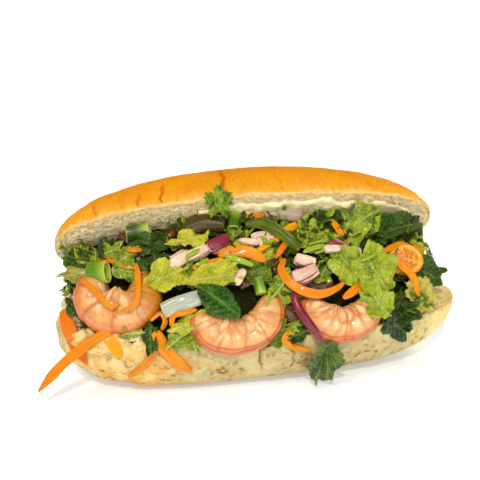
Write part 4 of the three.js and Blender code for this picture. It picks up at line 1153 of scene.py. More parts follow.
# A tapered body carried round an open C on the filling. Its section is an ellipse that swells over
# each segment; round it go two ridge lines near the back, creases between segments, and muscle
# cells along the inner side, round random points.
def prawnShell(middle, reach, turn, body, tail, depth, lift, ridge, amber, seed, rows=190, columns=80):
    form = prawnForm
    share = np.linspace(0, 1, rows)
    sweep = np.radians(lerp(turn[0], turn[1], share))
    along = middle[0] + reach[0] * np.cos(sweep)
    up = middle[1] + reach[1] * np.sin(sweep)
    hang = np.minimum(up - mouth["lip"], 0)[:, None] * mouth["up"]
    lifted = np.full(rows, float(lift))
    centres = place(np.stack([along, np.maximum(up, mouth["lip"]), lifted], -1))[0] + hang
    level = place([middle[0], middle[1] - reach[1], lift])[1]
    ahead = unit(np.gradient(centres, axis=0))
    side = unit(np.cross(ahead, level))
    out = np.cross(side, ahead)
    angle = fullTurn(columns)
    fromBack = np.minimum(angle, 2 * np.pi - angle)[None]
    warp = 0.10 * latticeNoise(centres, 6.0, seed)[:, None]
    segment = share[:, None] * form["segments"] + warp + 0.12 * np.sin(fromBack * 2)
    phase = segment % 1
    joint = np.minimum(phase, 1 - phase)
    runLength = share[:, None] * form["length"] + 0 * fromBack
    patchSpot = np.stack([segment * 1.3, fromBack * 1.1 + 0 * segment, 0 * segment], -1)
    patchy = np.clip(0.5 + 0.8 * latticeNoise(patchSpot, 1.0, seed), 0, 1)
    crease = bell(joint, 0, form["creaseWidth"]) * (0.45 + 0.55 * patchy)
    swell = np.sin(np.pi * phase) ** 0.6
    cellSpot = [runLength / form["muscleLength"], fromBack * 1.05 + seed + 0 * runLength, 0 * runLength]
    nearest, second = cellDistances(np.stack(cellSpot, -1), 1.0, seed)
    inner = smoothStep(fromBack, 0.95, 1.5) * (1 - smoothStep(fromBack, 2.7, 3.1))
    muscle = smoothStep(second - nearest, 0.02, 0.5) * inner
    web = (1 - smoothStep(second - nearest, 0.02, 0.14)) * inner * (0.15 + 0.6 * patchy)
    radius = lerp(body, tail, share)[:, None] * (0.955 + 0.06 * swell)
    tip = np.abs(2 * share - 1)[:, None]
    cap = np.sqrt(np.maximum(1 - tip ** 9, 0.004))
    front = np.sin(angle)[None] > 0
    lines = np.zeros((rows, columns))
    for number, spot in enumerate(form["ridges"]):
        drift = spot + 0.05 * np.sin(segment * 2.3 + number) + 0.05 * warp
        lines = np.maximum(lines, bell(fromBack, drift, form["ridgeWidth"]) * front)
    groove = bell(fromBack, np.mean(form["ridges"]), form["grooveWidth"]) * front * ridge
    relief = form["ridgeHeight"] * ridge * lines - form["grooveDepth"] * groove
    relief = relief - form["creaseDepth"] * crease * (0.35 + 0.65 * smoothStep(fromBack, 0.5, 1.6))
    relief = relief + form["muscleHeight"] * muscle
    flesh = centres[:, None] + np.cos(angle)[None, :, None] * side[:, None] * 6
    relief = relief + 0.35 * latticeNoise(flesh + seed * 9.1, 3.5, seed)
    relief = relief + 0.12 * latticeNoise(flesh, 1.2, seed + 1)
    size = (radius + relief) * cap
    grid = centres[:, None] + side[:, None] * (size * np.cos(angle))[..., None]
    grid = grid + out[:, None] * (size * depth * np.sin(angle))[..., None]
    grid[..., 2] = np.maximum(grid[..., 2], 0.5)
    masks = {
        "crease": np.maximum(crease * (1 - smoothStep(fromBack, 1.8, 2.8)), web),
        "ridge": np.maximum(lines * ridge, 0.4 * bell(fromBack, 0.35, 0.2)),
        "back": 1 - smoothStep(fromBack, 0.25, 1.25),
        "belly": smoothStep(fromBack, 1.5, 2.5),
        "muscle": muscle,
        "amber": amber * smoothStep(share, 0.58, 0.82)[:, None],
        "run": runLength,
        "across": fromBack * 3,
    }
    return ringShell(grid, masks)


prawnLook = {
    "shader": {
        "roughness": 0.34, "coat": 0.5, "coatRoughness": 0.05, "glow": 0.12, "glowColour": (1.0, 0.5, 0.2),
        "reach": 2.5,
    },
    "bump": (0.16, 0.6),
    "flesh": ("#e6b574", "#d89456"),
    "tints": {
        # muscle: the muscle bumps' own white, and a painted highlight on them
        "muscle": ("#fce6b8", 0.7), "back": ("#dc7a2c", 0.85), "threads": ("#f0975c", 0.2),
        "crease": ("#c8561c", 0.8), "ridge": ("#b8341a", 0.9), "belly": ("#e99550", 0.3),
        "strands": ("#d4622c", 0.5), "dots": ("#d03b00", 0.8), "amber": ("#c67c00", 0.85),
    },
}


# Cooked flesh: cream with peach blushes and white muscle bumps, whose white is partly their own and
# partly a painted highlight, orange creases, a deep orange back and red ridge lines. Some prawns turn
# to amber, like glass, towards the tail.
def prawnFinish():
    look = prawnLook
    material, tree = newFinish("prawn", **look["shader"])
    spot = objectSpot(tree)
    threads = fibres(tree, readMask(tree, "across"), readMask(tree, "run"), 0.55)
    strands = useGroup(tree, "web", Spot=spot, Size=7.0, Width=0.02)
    dots = useGroup(tree, "specks", Spot=spot, Spacing=4.2, Share=0.2)
    dots = multiply(tree, dots, patches(tree, spot, 7.0, 0.5, 0.62))
    surface = blendColours(tree, patches(tree, spot, 6.0, 0.38, 0.66), *look["flesh"])
    surface = layTints(tree, surface, look["tints"], threads=threads, strands=strands, dots=dots)
    height = add(tree, threads, multiply(tree, patches(tree, spot, 0.8, 0.3, 0.7), 0.5))
    return dress(material, surface, height, *look["bump"])


def makePrawns():
    finish = prawnFinish()
    for name, sizes in prawns.items():
        makePiece(name + "_flesh", prawnShell(**sizes), finish, name)


# Carrot shreds, carrot_strip_01 to 20 in turn. Routes are places on the filling.

carrots = [
    {
        "width": 5, "taper": (0.15, 0.9), "free": True, "bow": 0.5,
        "route": [(-114, -32, 12), (-103, -31, 23.5), (-92, -30, 32), (-85, -29.5, 36.5), (-77, -29.5, 40.5)],
    },
    {
        "width": 7, "taper": (0.5, 0.12),
        "route": [(-99, -11, 3), (-97, -20, 2.5), (-94, -29, 2), (-89, -40, 2)],
    },
    {"width": 6, "taper": (0.9, 0.12), "route": [(-79, -27, 2), (-76, -32, 2), (-73, -38, 1.8)]},
    {
        "width": 3.5,
        "route": [(-57, -34, 1.8), (-58, -38, 1.8), (-62, -43, 1.6), (-66, -47, 1.6), (-70, -50, 1.5)],
    },
    {
        "width": 6.5, "taper": (0.7, 0.15),
        "route": [(-56, -27, 2.5), (-53, -34, 2.2), (-47, -42, 2), (-39, -50, 1.6)],
    },
    {"width": 3, "lean": 60, "route": [(-58, -22, 3), (-53, -19, 5), (-51, -23, 5), (-53, -27, 3)]},
    {"width": 3, "lean": 20, "route": [(-48, -26, 3), (-47, -21, 5), (-43, -20, 6), (-35, -19, 5)]},
    {
        "width": 3,
        "route": [(-89, 2, 11), (-84, -4, 12.5), (-80, -10, 13), (-76, -14, 12.5), (-72, -12, 12)],
    },
    {
        "width": 3,
        "route": [
            (-62, 7, 6), (-62, 0, 10), (-63, -9, 12), (-65, -14, 12.4), (-69, -16, 12.4), (-74, -17, 12),
        ],
    },
    {"width": 2.2, "route": [(-80, 12, 3), (-74, 10, 4), (-69, 7, 5), (-62, 4, 4.5)]},
    {"width": 4.2, "route": [(-35, 2, 3), (-27, 3, 4), (-19, 5, 4)]},
    {"width": 6, "bow": 0.6, "route": [(-22, 7, 4), (-14, 8.5, 6), (-6, 6.5, 6.5), (1, 2, 5)]},
    {"width": 4.5, "route": [(-3, 7, 2.5), (4, 12, 3), (11, 15, 2.5), (17, 19, 2), (26, 22, 1.5)]},
    {"width": 3, "taper": (0.8, 0.15), "route": [(13, 11, 4), (9.5, 7.5, 5.5), (6, 3, 4.5)]},
    {
        "width": 4.5,
        "route": [
            (11, 3, 2), (8, -3, 4.5), (11, -10, 7.5), (17, -15, 9.5), (25, -17, 10), (33, -15, 9.5),
            (38, -12, 7.5),
        ],
    },
    {"width": 4.5, "route": [(49, -12, 5), (43, -16, 8), (36, -20, 9)]},
    {"width": 3.2, "taper": (0.2, 0.6), "route": [(38, 22, 4), (41, 15, 4.5), (44, 9, 3)]},
    {"width": 3, "route": [(55, 6, 4), (62, 3, 6), (71, 6, 7), (78, 4, 6), (85, 2, 5), (89, -3, 3)]},
    {
        "width": 4, "taper": (0.8, 0.3),
        "route": [(64, 0, 8), (69, -5, 8.5), (74, -10, 8.5), (76, -16, 8), (77, -22, 6.5)],
    },
    {"width": 3.2, "route": [(10, -32, 2.5), (6.5, -37, 2.5), (11, -40, 2.5), (20, -43, 2.5)]},
]
carrotStrip = {"thick": 1.5, "power": 6.5, "groove": 0.25}
carrotTwist = 40  # degrees, the most that a shred turns along its length
carrotLook = {
    "shader": {
        "roughness": 0.38, "coat": 0.18, "coatRoughness": 0.08, "glow": 0.04, "glowColour": (1.0, 0.35, 0.05),
        "reach": 2.0, "shine": 0.22,
    },
    "bump": (0.2, 0.7),
    "flesh": ("#e98600", "#ee9c00"),
    "tints": {
        "threads": ("#d96a00", 0.45), "light": ("#f5a500", 1), "deep": ("#e27400", 1),
        "edge": ("#f8ab20", 0.3),
    },
}


# Wet carrot: orange with lengthwise fibres, each shred a little lighter or deeper, with pale cut ends
def carrotFinish():
    look = carrotLook
    material, tree = newFinish("carrot", **look["shader"])
    run, tone = readMask(tree, "run"), readMask(tree, "tone")
    across = multiply(tree, readMask(tree, "across"), 2.0)
    threads, broad = fibres(tree, run, across, 0.45), fibres(tree, run, across, 1.4)
    surface = blendColours(tree, broad, *look["flesh"])
    surface = layTints(tree, surface, look["tints"], threads=threads, light=fade(tree, tone, 0.1, 0.7),
                       deep=fade(tree, multiply(tree, tone, -1.0), 0.1, 0.9))
    return dress(material, surface, add(tree, threads, broad), *look["bump"])


def makeCarrots():
    finish = carrotFinish()
    for number, sizes in enumerate(carrots):
        name = f"carrot_strip_{number + 1:02d}"
        shell = stripShell(seed=number, twist=carrotTwist * np.sin(number), **carrotStrip, **sizes)
        makePiece(name + "_shred", shell, finish, name)
    return finish


# Scallion slices: short hollow tubes with an inner layer

scallions = [
    {"radius": 5, "slant": 1.2, "route": [(-85, 5, 6.5), (-80.5, 4.5, 7), (-76, 4, 7)]},
    {"radius": 3.8, "slant": 0.8, "tone": 0.6, "route": [(-65, 23, 3), (-59, 23.5, 3), (-53, 24, 3)]},
    {"radius": 3.6, "slant": 0.6, "tone": 0.35, "route": [(-12, 20, 2), (-11, 24, 2.5), (-10, 29, 3)]},
    {"radius": 3, "slant": 0.5, "route": [(-4, -6, 3), (-3.5, -10, 3), (-3, -14, 3)]},
]
innerLayer = {"wall": 0.7, "slant": -0.4, "squash": 0.16, "inset": 0.7, "tone": -0.3}
innerGap = 1.5
scallionLook = {
    "shader": {
        "roughness": 0.3, "coat": 0.4, "coatRoughness": 0.06, "glow": 0.05, "glowColour": (0.5, 1.0, 0.2),
        "reach": 1.5,
    },
    "bump": (0.12, 0.5),
    "skin": ("#3f7400", "#7ba50d"),
    "tints": {
        "deep": ("#254a00", 1), "pale": ("#a5bf38", 1), "inside": ("#b5c848", 1), "edge": ("#c3d15e", 0.8),
    },
}


# A closed tube wall: a rounded rectangle of wall by length, turned round the slice's axis. Its circle
# is slightly squashed and its ends are cut at a slant.
def tubeShell(route, radius, wall=1.1, slant=0.0, squash=0.1, inset=0.0, columns=60, seed=0, tone=0.0):
    points, side, out = routeFrames(route, 3)
    axis = unit(points[2] - points[0])
    length = np.linalg.norm(points[2] - points[0]) / 2 - inset
    profile, turn = fullTurn(44), fullTurn(columns)
    runs = length * signedPower(np.cos(profile), 2 / 7)
    radii = radius - wall / 2 + wall / 2 * signedPower(np.sin(profile), 2 / 7)
    shape = 1 + squash * np.cos(2 * turn + seed) + 0.04 * np.sin(5 * turn + seed)
    width = radii[:, None] * shape[None]
    shift = runs[:, None] + slant * np.cos(turn + seed)[None] * np.sign(runs)[:, None] * 0.5
    grid = points[1] + axis * shift[..., None]
    grid = grid + side[1] * (width * np.cos(turn))[..., None] + out[1] * (width * np.sin(turn))[..., None]
    masks = {
        "run": (runs / length)[:, None],
        "across": (turn * radius)[None],
        "top": np.sin(profile)[:, None],
        "edge": (np.abs(runs / length) > 0.93)[:, None] * 1.0,
        "tone": np.full((1, 1), tone),
    }
    return ringShell(grid, masks, loop=True)


# Scallion skin: fine stripes from pale to deep green; the cut ends and the inside are pale
def scallionFinish():
    look = scallionLook
    material, tree = newFinish("scallion", **look["shader"])
    run, across = readMask(tree, "run"), readMask(tree, "across")
    stripes = fibres(tree, run, across, 0.5)
    surface = blendColours(tree, stripes, *look["skin"])
    surface = layTints(tree, surface, look["tints"], deep=fade(tree, readMask(tree, "tone"), -0.2, 0.7),
                       pale=fade(tree, run, -0.2, 1.2), inside=fade(tree, readMask(tree, "top"), 0.2, -0.6))
    return dress(material, surface, stripes, *look["bump"])


def makeScallions():
    finish = scallionFinish()
    for number, sizes in enumerate(scallions):
        name = f"scallion_ring_{number + 1}"
        outer = tubeShell(seed=number, **sizes)
        inner = tubeShell(sizes["route"], sizes["radius"] - innerGap, seed=number + 2, **innerLayer)
        makePiece(name + "_slice", [outer, inner], finish, name)


# Onion: chopped petals of two or three layers, white to pink, with magenta where the skin was

onions = [
    {"width": 7, "route": [(-46, 4, 3), (-41, 6.5, 4), (-36, 9, 3)], "purple": 0.12},
    {"width": 6, "route": [(-37, 8, 3), (-31, 10, 3.5), (-26, 12, 3)], "purple": 0.2},
    {"width": 7, "route": [(-26, 11, 5), (-21, 13, 5.5), (-16, 15, 5)], "purple": 2.6},
    {"width": 4, "route": [(-10, 13, 3.5), (-6, 12, 4), (-2, 11, 3.5)], "purple": 0.1},
    {"width": 6, "route": [(-3, 13, 3), (1, 14, 3), (6, 14, 3)], "purple": 0.4},
    {"width": 6, "route": [(16, 3, 5), (20, 1, 5.5), (25, 0, 5)], "purple": 0.25},
    {"width": 8, "route": [(13, -8, 5.5), (19, -6.5, 6), (25, -4, 5.5)], "purple": 1.2},
    {"width": 6, "route": [(35, 9, 3), (39, 7, 3.5), (44, 4, 3)], "purple": 3.0},
    {"width": 4.5, "route": [(31, 6, 5), (35, 6, 5.5), (39, 6, 5)], "purple": 0.15},
]
# The dark crescent: width, thickness, bow, offset and purple of each of its two layers
onionCrescent = {
    "route": [(12, -14, 5), (13, -21, 6), (17, -29, 7), (23, -38, 7)],
    "layers": [(4.6, 1.5, 1.4, 0.5, 3.2), (3.6, 1.2, 1.2, -0.9, 0.8)],
}
onionLook = {
    "shader": {
        "roughness": 0.26, "coat": 0.35, "coatRoughness": 0.06, "glow": 0.12, "glowColour": (1.0, 0.6, 0.6),
        "reach": 2.0, "shine": 0.4,
    },
    "bump": (0.12, 0.5),
    "flesh": ("#f4e2c8", "#e6c2a8"),
    "tints": {"pink": ("#e0908c", 0.35)},
    "skin": ("#6c0c26", "#90183c"),
}


def paintPurple(shell, purple):
    shell["masks"]["purple"] = np.full(len(shell["points"]), purple)
    return shell


# Layers of one chunk lie on each other along its outward direction. Each is a bowed slab with crisp
# edges, a little smaller than the one under it and shifted by the seed.
def onionShells(route, width, purple, seed, layers=3, layerThick=1.25, layerGap=1.5):
    shells = []
    for layer in range(layers):
        shift = 0.8 * np.array([np.sin(seed + 2.1 * layer), np.cos(1.7 * seed + layer), 0])
        shell = stripShell(
            np.asarray(route) + shift, width * (1.04 - 0.13 * layer), layerThick, (0.85, 0.8), power=12,
            columns=36, spacing=0.4, bow=0.9, lean=14 * np.sin(seed), wobble=0.16, capLength=0.12,
            offset=(layer - (layers - 1) / 2) * layerGap, seed=seed + layer,
        )
        outermost = layer == layers - 1
        shells.append(paintPurple(shell, purple * (1.0 if outermost else 0.6)))
    return shells


# Onion flesh is cream to pink in streaks, glassy, with a thin magenta line along each layer's edges and
# a magenta outer skin.
def onionFinish():
    look = onionLook
    material, tree = newFinish("onion", **look["shader"])
    across = readMask(tree, "across")
    threads = fibres(tree, readMask(tree, "run"), multiply(tree, across, 3.0), 0.5)
    surface = blendColours(tree, threads, *look["flesh"])
    streaks = patches(tree, objectSpot(tree), 3.0, 0.4, 0.62)
    surface = layTints(tree, surface, look["tints"], pink=streaks)
    side = fade(tree, reckon(tree, "ABSOLUTE", across), 0.75, 1.0)
    skin = multiply(tree, readMask(tree, "purple"), add(tree, multiply(tree, side, 0.8), 0.25))
    deep = blendColours(tree, threads, *look["skin"])
    surface = blendColours(tree, fade(tree, skin, 0.12, 0.7), surface, deep)
    return dress(material, surface, threads, *look["bump"])


def makeOnions():
    finish = onionFinish()
    for number, sizes in enumerate(onions):
        name = f"onion_piece_{number + 1:02d}"
        makePiece(name + "_petals", onionShells(seed=number, **sizes), finish, name)
    crescent = []
    for number, (width, thick, bow, offset, purple) in enumerate(onionCrescent["layers"]):
        shell = stripShell(onionCrescent["route"], width, thick, (0.25, 0.25), 35, bow=bow, power=3,
                           seed=31 + number, offset=offset)
        crescent.append(paintPurple(shell, purple))
    makePiece("onion_crescent_petals", crescent, finish, "onion_crescent")
    return finish


# Single pieces of vegetable

singles = {
    "daikon_stick": {
        "slot": "daikon", "finish": "daikon", "width": 8, "thick": 4, "taper": (0.9, 0.95), "power": 3.6,
        "groove": 0.5, "wobble": 0.12, "route": [(-52, -18, 4), (-42, -15, 5), (-33, -13, 5)], "columns": 30,
    },
    "stem_stick": {
        "slot": "scallion", "finish": "stalk", "width": 2.8, "thick": 2.6, "taper": (0.9, 0.7),
        "route": [(-19, 6, 7.8), (-12, 3, 8.6), (-6, 0, 7.5)], "capLength": 0.4,
    },
    "pepper_slice": {
        "slot": "pepper", "finish": "pepper", "width": 9, "thick": 2.6, "taper": (0.4, 0.8), "bow": 1.4,
        "route": [(-38, 21, 2), (-31, 24, 3), (-24, 25, 3.5), (-16, 23, 3)], "columns": 30,
    },
    "chilli_strip": {
        "slot": "chilli", "finish": "chilli", "width": 6, "thick": 2.6, "taper": (0.4, 0.3), "bow": 0.8,
        "route": [(-6, 22, 4), (2, 22, 5.5), (8, 18, 6.5), (14, 12, 7), (18, 6, 6)], "columns": 26,
        "groove": 0.5, "wobble": 0.16,
    },
    "mushroom_slice": {
        "slot": "mushroom", "finish": "mushroom", "width": 8, "thick": 2.8, "taper": (0.5, 0.8), "bow": 1.0,
        "route": [(5, 27, 1), (13, 28, 1.6), (24, 25, 1.6)], "columns": 30,
    },
}
# Of each finish: its two tones, its edge, the pitch of its fibres, its wet coat and its glow
singleFinishes = {
    "daikon": ("#c4c6b4", "#9ea69a", "#e4dcb4", 0.7, 0.4, 0.2),
    "stalk": ("#a9c02c", "#86a310", "#d3d768", 0.4, 0.3, 0.05),
    "pepper": ("#5a3d06", "#38390a", "#77591a", 1.5, 0.35, 0.0),
    "chilli": ("#6a7600", "#3a4c00", "#a0a838", 0.9, 0.0, 0.0),
    "mushroom": ("#c2b096", "#a08c7c", "#d4c294", 1.8, 0.2, 0.1),
}


# A wet vegetable cut: two tones in lengthwise fibres, blotches, and a paler edge and ends
def singleFinish(name, first, second, edge, pitch, coat, glow):
    material, tree = newFinish(name, 0.32, coat, 0.07, glow, colour(edge)[:3], reach=2.0, shine=0.3)
    across = readMask(tree, "across")
    threads = fibres(tree, readMask(tree, "run"), multiply(tree, across, 4.0), pitch)
    rim = fade(tree, reckon(tree, "ABSOLUTE", across), 0.8, 1.0)
    surface = blendColours(tree, threads, first, second)
    surface = layTints(tree, surface, {"blotches": (second, 0.4), "rim": (edge, 0.6)},
                       blotches=patches(tree, objectSpot(tree), 3.0, 0.35, 0.65),
                       rim=reckon(tree, "MAXIMUM", rim, readMask(tree, "edge")))
    return dress(material, surface, threads, 0.15, 0.5)


def makeSingles():
    finishes = {name: singleFinish(name, *values) for name, values in singleFinishes.items()}
    for number, (name, given) in enumerate(singles.items()):
        sizes = {key: value for key, value in given.items() if key not in ("slot", "finish")}
        shell = stripShell(seed=50 + number, spacing=0.6, **sizes)
        makePiece(name + "_cut", shell, finishes[given["finish"]], name)
    return finishes


tomato = {
    "at": (73, -2, 4.5), "heading": -15, "size": (20, 16, 9), "underside": 0.55,  # share of depth left there
    "wall": 0.78, "gelDepth": 0.9, "seeds": 15, "seedSize": (1.1, 0.75, 0.4),
}
tomatoLook = {
    "shader": {
        "roughness": 0.28, "coat": 0.4, "coatRoughness": 0.06, "glow": 0.1, "glowColour": (1.0, 0.3, 0.05),
        "reach": 3.0,
    },
    "bump": (0.3, 0.5),
    "flesh": ("#f59c10", "#ffbe38"),
    "skin": ("#f08c0c", "#f8a41c"),
    "tints": {"gel": ("#c0600c", 0.75), "cells": ("#ffd05c", 0.5)},
    "seeds": ("#f0b040", "#dd9420"),
}


# A wedge: an ellipsoid flattened underneath, with sunk gel pockets between three walls on its cut
# face, and seeds there
def makeTomato():
    point, normal = place(tomato["at"])
    ahead = turnAbout(np.array([1.0, 0, 0]), normal, tomato["heading"])
    side = unit(np.cross(normal, ahead))
    half = np.array(tomato["size"]) / 2
    local = ballPoints(60, 72, 0.06)
    local[..., 2] *= np.where(np.sin(fullTurn(72)) > 0.1, 1, tomato["underside"])
    local = local * half
    face = smoothStep(local[..., 2] / half[2], 0.1, 0.45)
    reach = np.hypot(local[..., 0] / half[0], local[..., 1] / half[1])
    walls = np.abs(np.sin(1.5 * np.arctan2(local[..., 1], local[..., 0])))
    gel = smoothStep(tomato["wall"] - reach, 0, 0.12) * smoothStep(walls, 0.1, 0.3) * face
    local[..., 2] -= tomato["gelDepth"] * gel
    grid = point + local @ np.stack([ahead, side, normal])
    masks = {"gel": gel, "face": face}
    makePiece("tomato_wedge_flesh", ringShell(grid, masks), tomatoFinish(), "tomato_wedge")
    draws = np.random.default_rng(12)
    seeds = []
    for number in range(tomato["seeds"]):
        spread = draws.uniform(-0.62, 0.62, 2) * half[:2]
        rise = half[2] * np.sqrt(max(1 - ((spread / half[:2]) ** 2).sum(), 0.1)) - 0.5
        heading = draws.uniform(0, 180)
        axes = np.stack([turnAbout(ahead, normal, heading), turnAbout(side, normal, heading), normal])
        centre = point + spread[0] * ahead + spread[1] * side + rise * normal
        seeds.append(lumpShell(centre, axes, tomato["seedSize"], number, 8, 12, 0.05))
    makePiece("tomato_seeds", seeds, seedFinish(), "tomato_wedge")


def tomatoFinish():
    look = tomatoLook
    material, tree = newFinish("tomato", **look["shader"])
    spot = objectSpot(tree)
    patch = patches(tree, spot, 2.4, 0.35, 0.65)
    skin, flesh = blendColours(tree, patch, *look["skin"]), blendColours(tree, patch, *look["flesh"])
    surface = blendColours(tree, readMask(tree, "face"), skin, flesh)
    cells = useGroup(tree, "web", Spot=spot, Size=4.5, Width=0.03)
    return dress(material, layTints(tree, surface, look["tints"], cells=cells), patch, *look["bump"])


def seedFinish():
    material, tree = newFinish("seed", 0.3, coat=0.6, coatRoughness=0.1)
    patch = patches(tree, objectSpot(tree), 0.8, 0.35, 0.65)
    return dress(material, blendColours(tree, patch, *tomatoLook["seeds"]))


# Mayonnaise on the upper half's crumb: a skin on the cut that swells and thins, with soft wavy edges.
# Its outer face lies deeper by thick (1 + noise), falling to nothing at both edges.
mayo = {
    "reach": (-30.0, 83.0), "front": 6.0, "back": 19.0, "thick": 1.1,  # front and back from the front rim
    "under": 0.4,  # how deep its inner face lies in the crumb
    "waves": ((2.4, 7, 21), (2.4, 15, 25), (1.1, 2.4, 22)),  # of its edges: amount, size and seed
    "shader": {
        "roughness": 0.32, "coat": 0.2, "coatRoughness": 0.12, "glow": 0.15, "glowColour": (1.0, 0.85, 0.5),
        "reach": 2.5,
    },
    "cream": ("#f8ecc4", "#e9dca4"),
}


def makeMayonnaise(rows=240, columns=36):
    along = np.linspace(*mayo["reach"], rows)[:, None]
    width, _, spring = upperSize(along)
    line = np.concatenate([along, 0 * along, 0 * along], -1)
    wave = sum(amount * latticeNoise(line, size, seed)[:, None] for amount, size, seed in mayo["waves"])
    ends = np.sqrt(np.maximum(1 - np.abs(np.linspace(-1, 1, rows))[:, None] ** 4, 0.01))
    front = width - mayo["front"] - 3 * (1 - ends) + wave
    back = front - 2 - (mayo["back"] - mayo["front"]) * ends
    share = np.linspace(0, 1, columns)[None]
    across = lerp(front, back, share)
    flat = np.stack([along + 0 * across, across, 0 * across], -1)
    swell = 1 + 0.55 * latticeNoise(flat, 5, 23) + 0.4 * latticeNoise(flat, 2.2, 24)
    profile = np.sqrt(np.clip(share / 0.12, 0.01, 1)) * np.clip((1 - share) / 0.3, 0.05, 1)
    swell = 0.15 + mayo["thick"] * np.maximum(swell, 0.15) * profile * ends
    skin = upperPoint(along, across, mayo["under"] + 0 * across, spring)
    outer = upperPoint(along, across, -0.5 - swell, spring)
    grid = np.concatenate([skin, outer[:, ::-1]], axis=1)
    makePiece("mayonnaise_spread", ringShell(grid), mayoFinish(), "mayonnaise")


def mayoFinish():
    material, tree = newFinish("mayonnaise", **mayo["shader"])
    spot = objectSpot(tree)
    surface = blendColours(tree, patches(tree, spot, 5.0, 0.35, 0.7), *mayo["cream"])
    return dress(material, surface, patches(tree, spot, 1.6, 0.3, 0.7), 0.3, 0.4)


# Leaves that are nodes of their own: slot, finish, place on the filling, heading, length, width, and
# what else leafShell takes

looseLeaves = {
    "mint_leaf": ("herb", "mint", (-25, -16, 11.2), -42, 25, 15, {
        "kind": "oval", "cup": -2.0, "wave": 0.5, "ruffle": 0.25, "curl": 0.4, "sway": 0.4,
        "blister": 1.5, "teeth": 60, "tooth": 0.035, "thick": 0.6, "rings": 22, "sectors": 96,
        "fold": 0.4,
    }),
    "cilantro_front": ("herb", "cilantro", (27, -49, 3), -96, 29, 18, {
        "kind": "oval", "cup": 0.8, "wave": 1.4, "ruffle": 2.0, "frills": 5, "tilt": 4, "tooth": 0.12,
        "teeth": 13, "tone": -0.45, "fold": 2.4, "curl": 2.6, "sway": 2.2,
    }),
    "lettuce_leaf_01": ("lettuce", "frill", (-26, -4, 5.5), 5, 28, 14, {
        "ruffle": 1.8, "wave": 1.4, "tone": 0.35, "frills": 11, "tooth": 0.07,
    }),
    "lettuce_leaf_02": ("lettuce", "frill", (-48, -1, 5), 20, 23, 15, {
        "ruffle": 1.6, "bank": 12, "fold": 1.2, "tone": 0.3,
    }),
    "lettuce_leaf_03": ("lettuce", "lettuce", (55, -7, 8), -65, 26, 22, {
        "ruffle": 2.4, "wave": 1.8, "cup": 2.2, "blister": 0.9, "tone": 0.6, "frills": 10,
    }),
    "lettuce_leaf_04": ("lettuce", "lettuce", (42, -4, 6), 120, 24, 18, {
        "ruffle": 1.9, "fold": 1.0, "tone": 0.2,
    }),
    "lettuce_leaf_05": ("lettuce", "lettuce", (54, 20, 6), 25, 24, 17, {
        "ruffle": 1.5, "tilt": 12, "blister": 0.9, "tone": -0.1,
    }),
    "lettuce_leaf_06": ("herb", "dark", (69, 14, 5), 8, 25, 14, {
        "cup": 3.2, "ruffle": 1.4, "fold": 1.5, "tone": 0.6, "frills": 6,
    }),
    "lettuce_leaf_07": ("lettuce", "dark", (83, -9, 4.5), -35, 19, 13, {
        "ruffle": 1.2, "fold": 0.8, "tone": 0.45,
    }),
    "lettuce_leaf_08": ("lettuce", "pale", (78.5, -20, 6), -60, 23, 16, {
        "kind": "fan", "lobes": 7, "notch": 0.12, "ruffle": 1.0, "tooth": 0.08, "tone": 0.2,
    }),
    "lettuce_leaf_09": ("lettuce", "frill", (-35, 16, 5), 15, 20, 13, {
        "bank": -20, "ruffle": 0.9, "wave": 0.7, "tone": 0.5, "blister": 0.3,
    }),
    "parsley_sprig": ("herb", "parsley", (-19, 33.5, 16), 85, 19, 15, {
        "kind": "fan", "lobes": 5, "notch": 0.26, "tilt": 45, "ruffle": 0.9, "tooth": 0.1, "teeth": 21,
        "tone": -0.1,
    }),
    "herb_leaf_01": ("lettuce", "lettuce", (54, -23, 8.5), -55, 18, 14, {
        "ruffle": 1.8, "blister": 0.9, "tone": 0.45, "frills": 8,
    }),
}

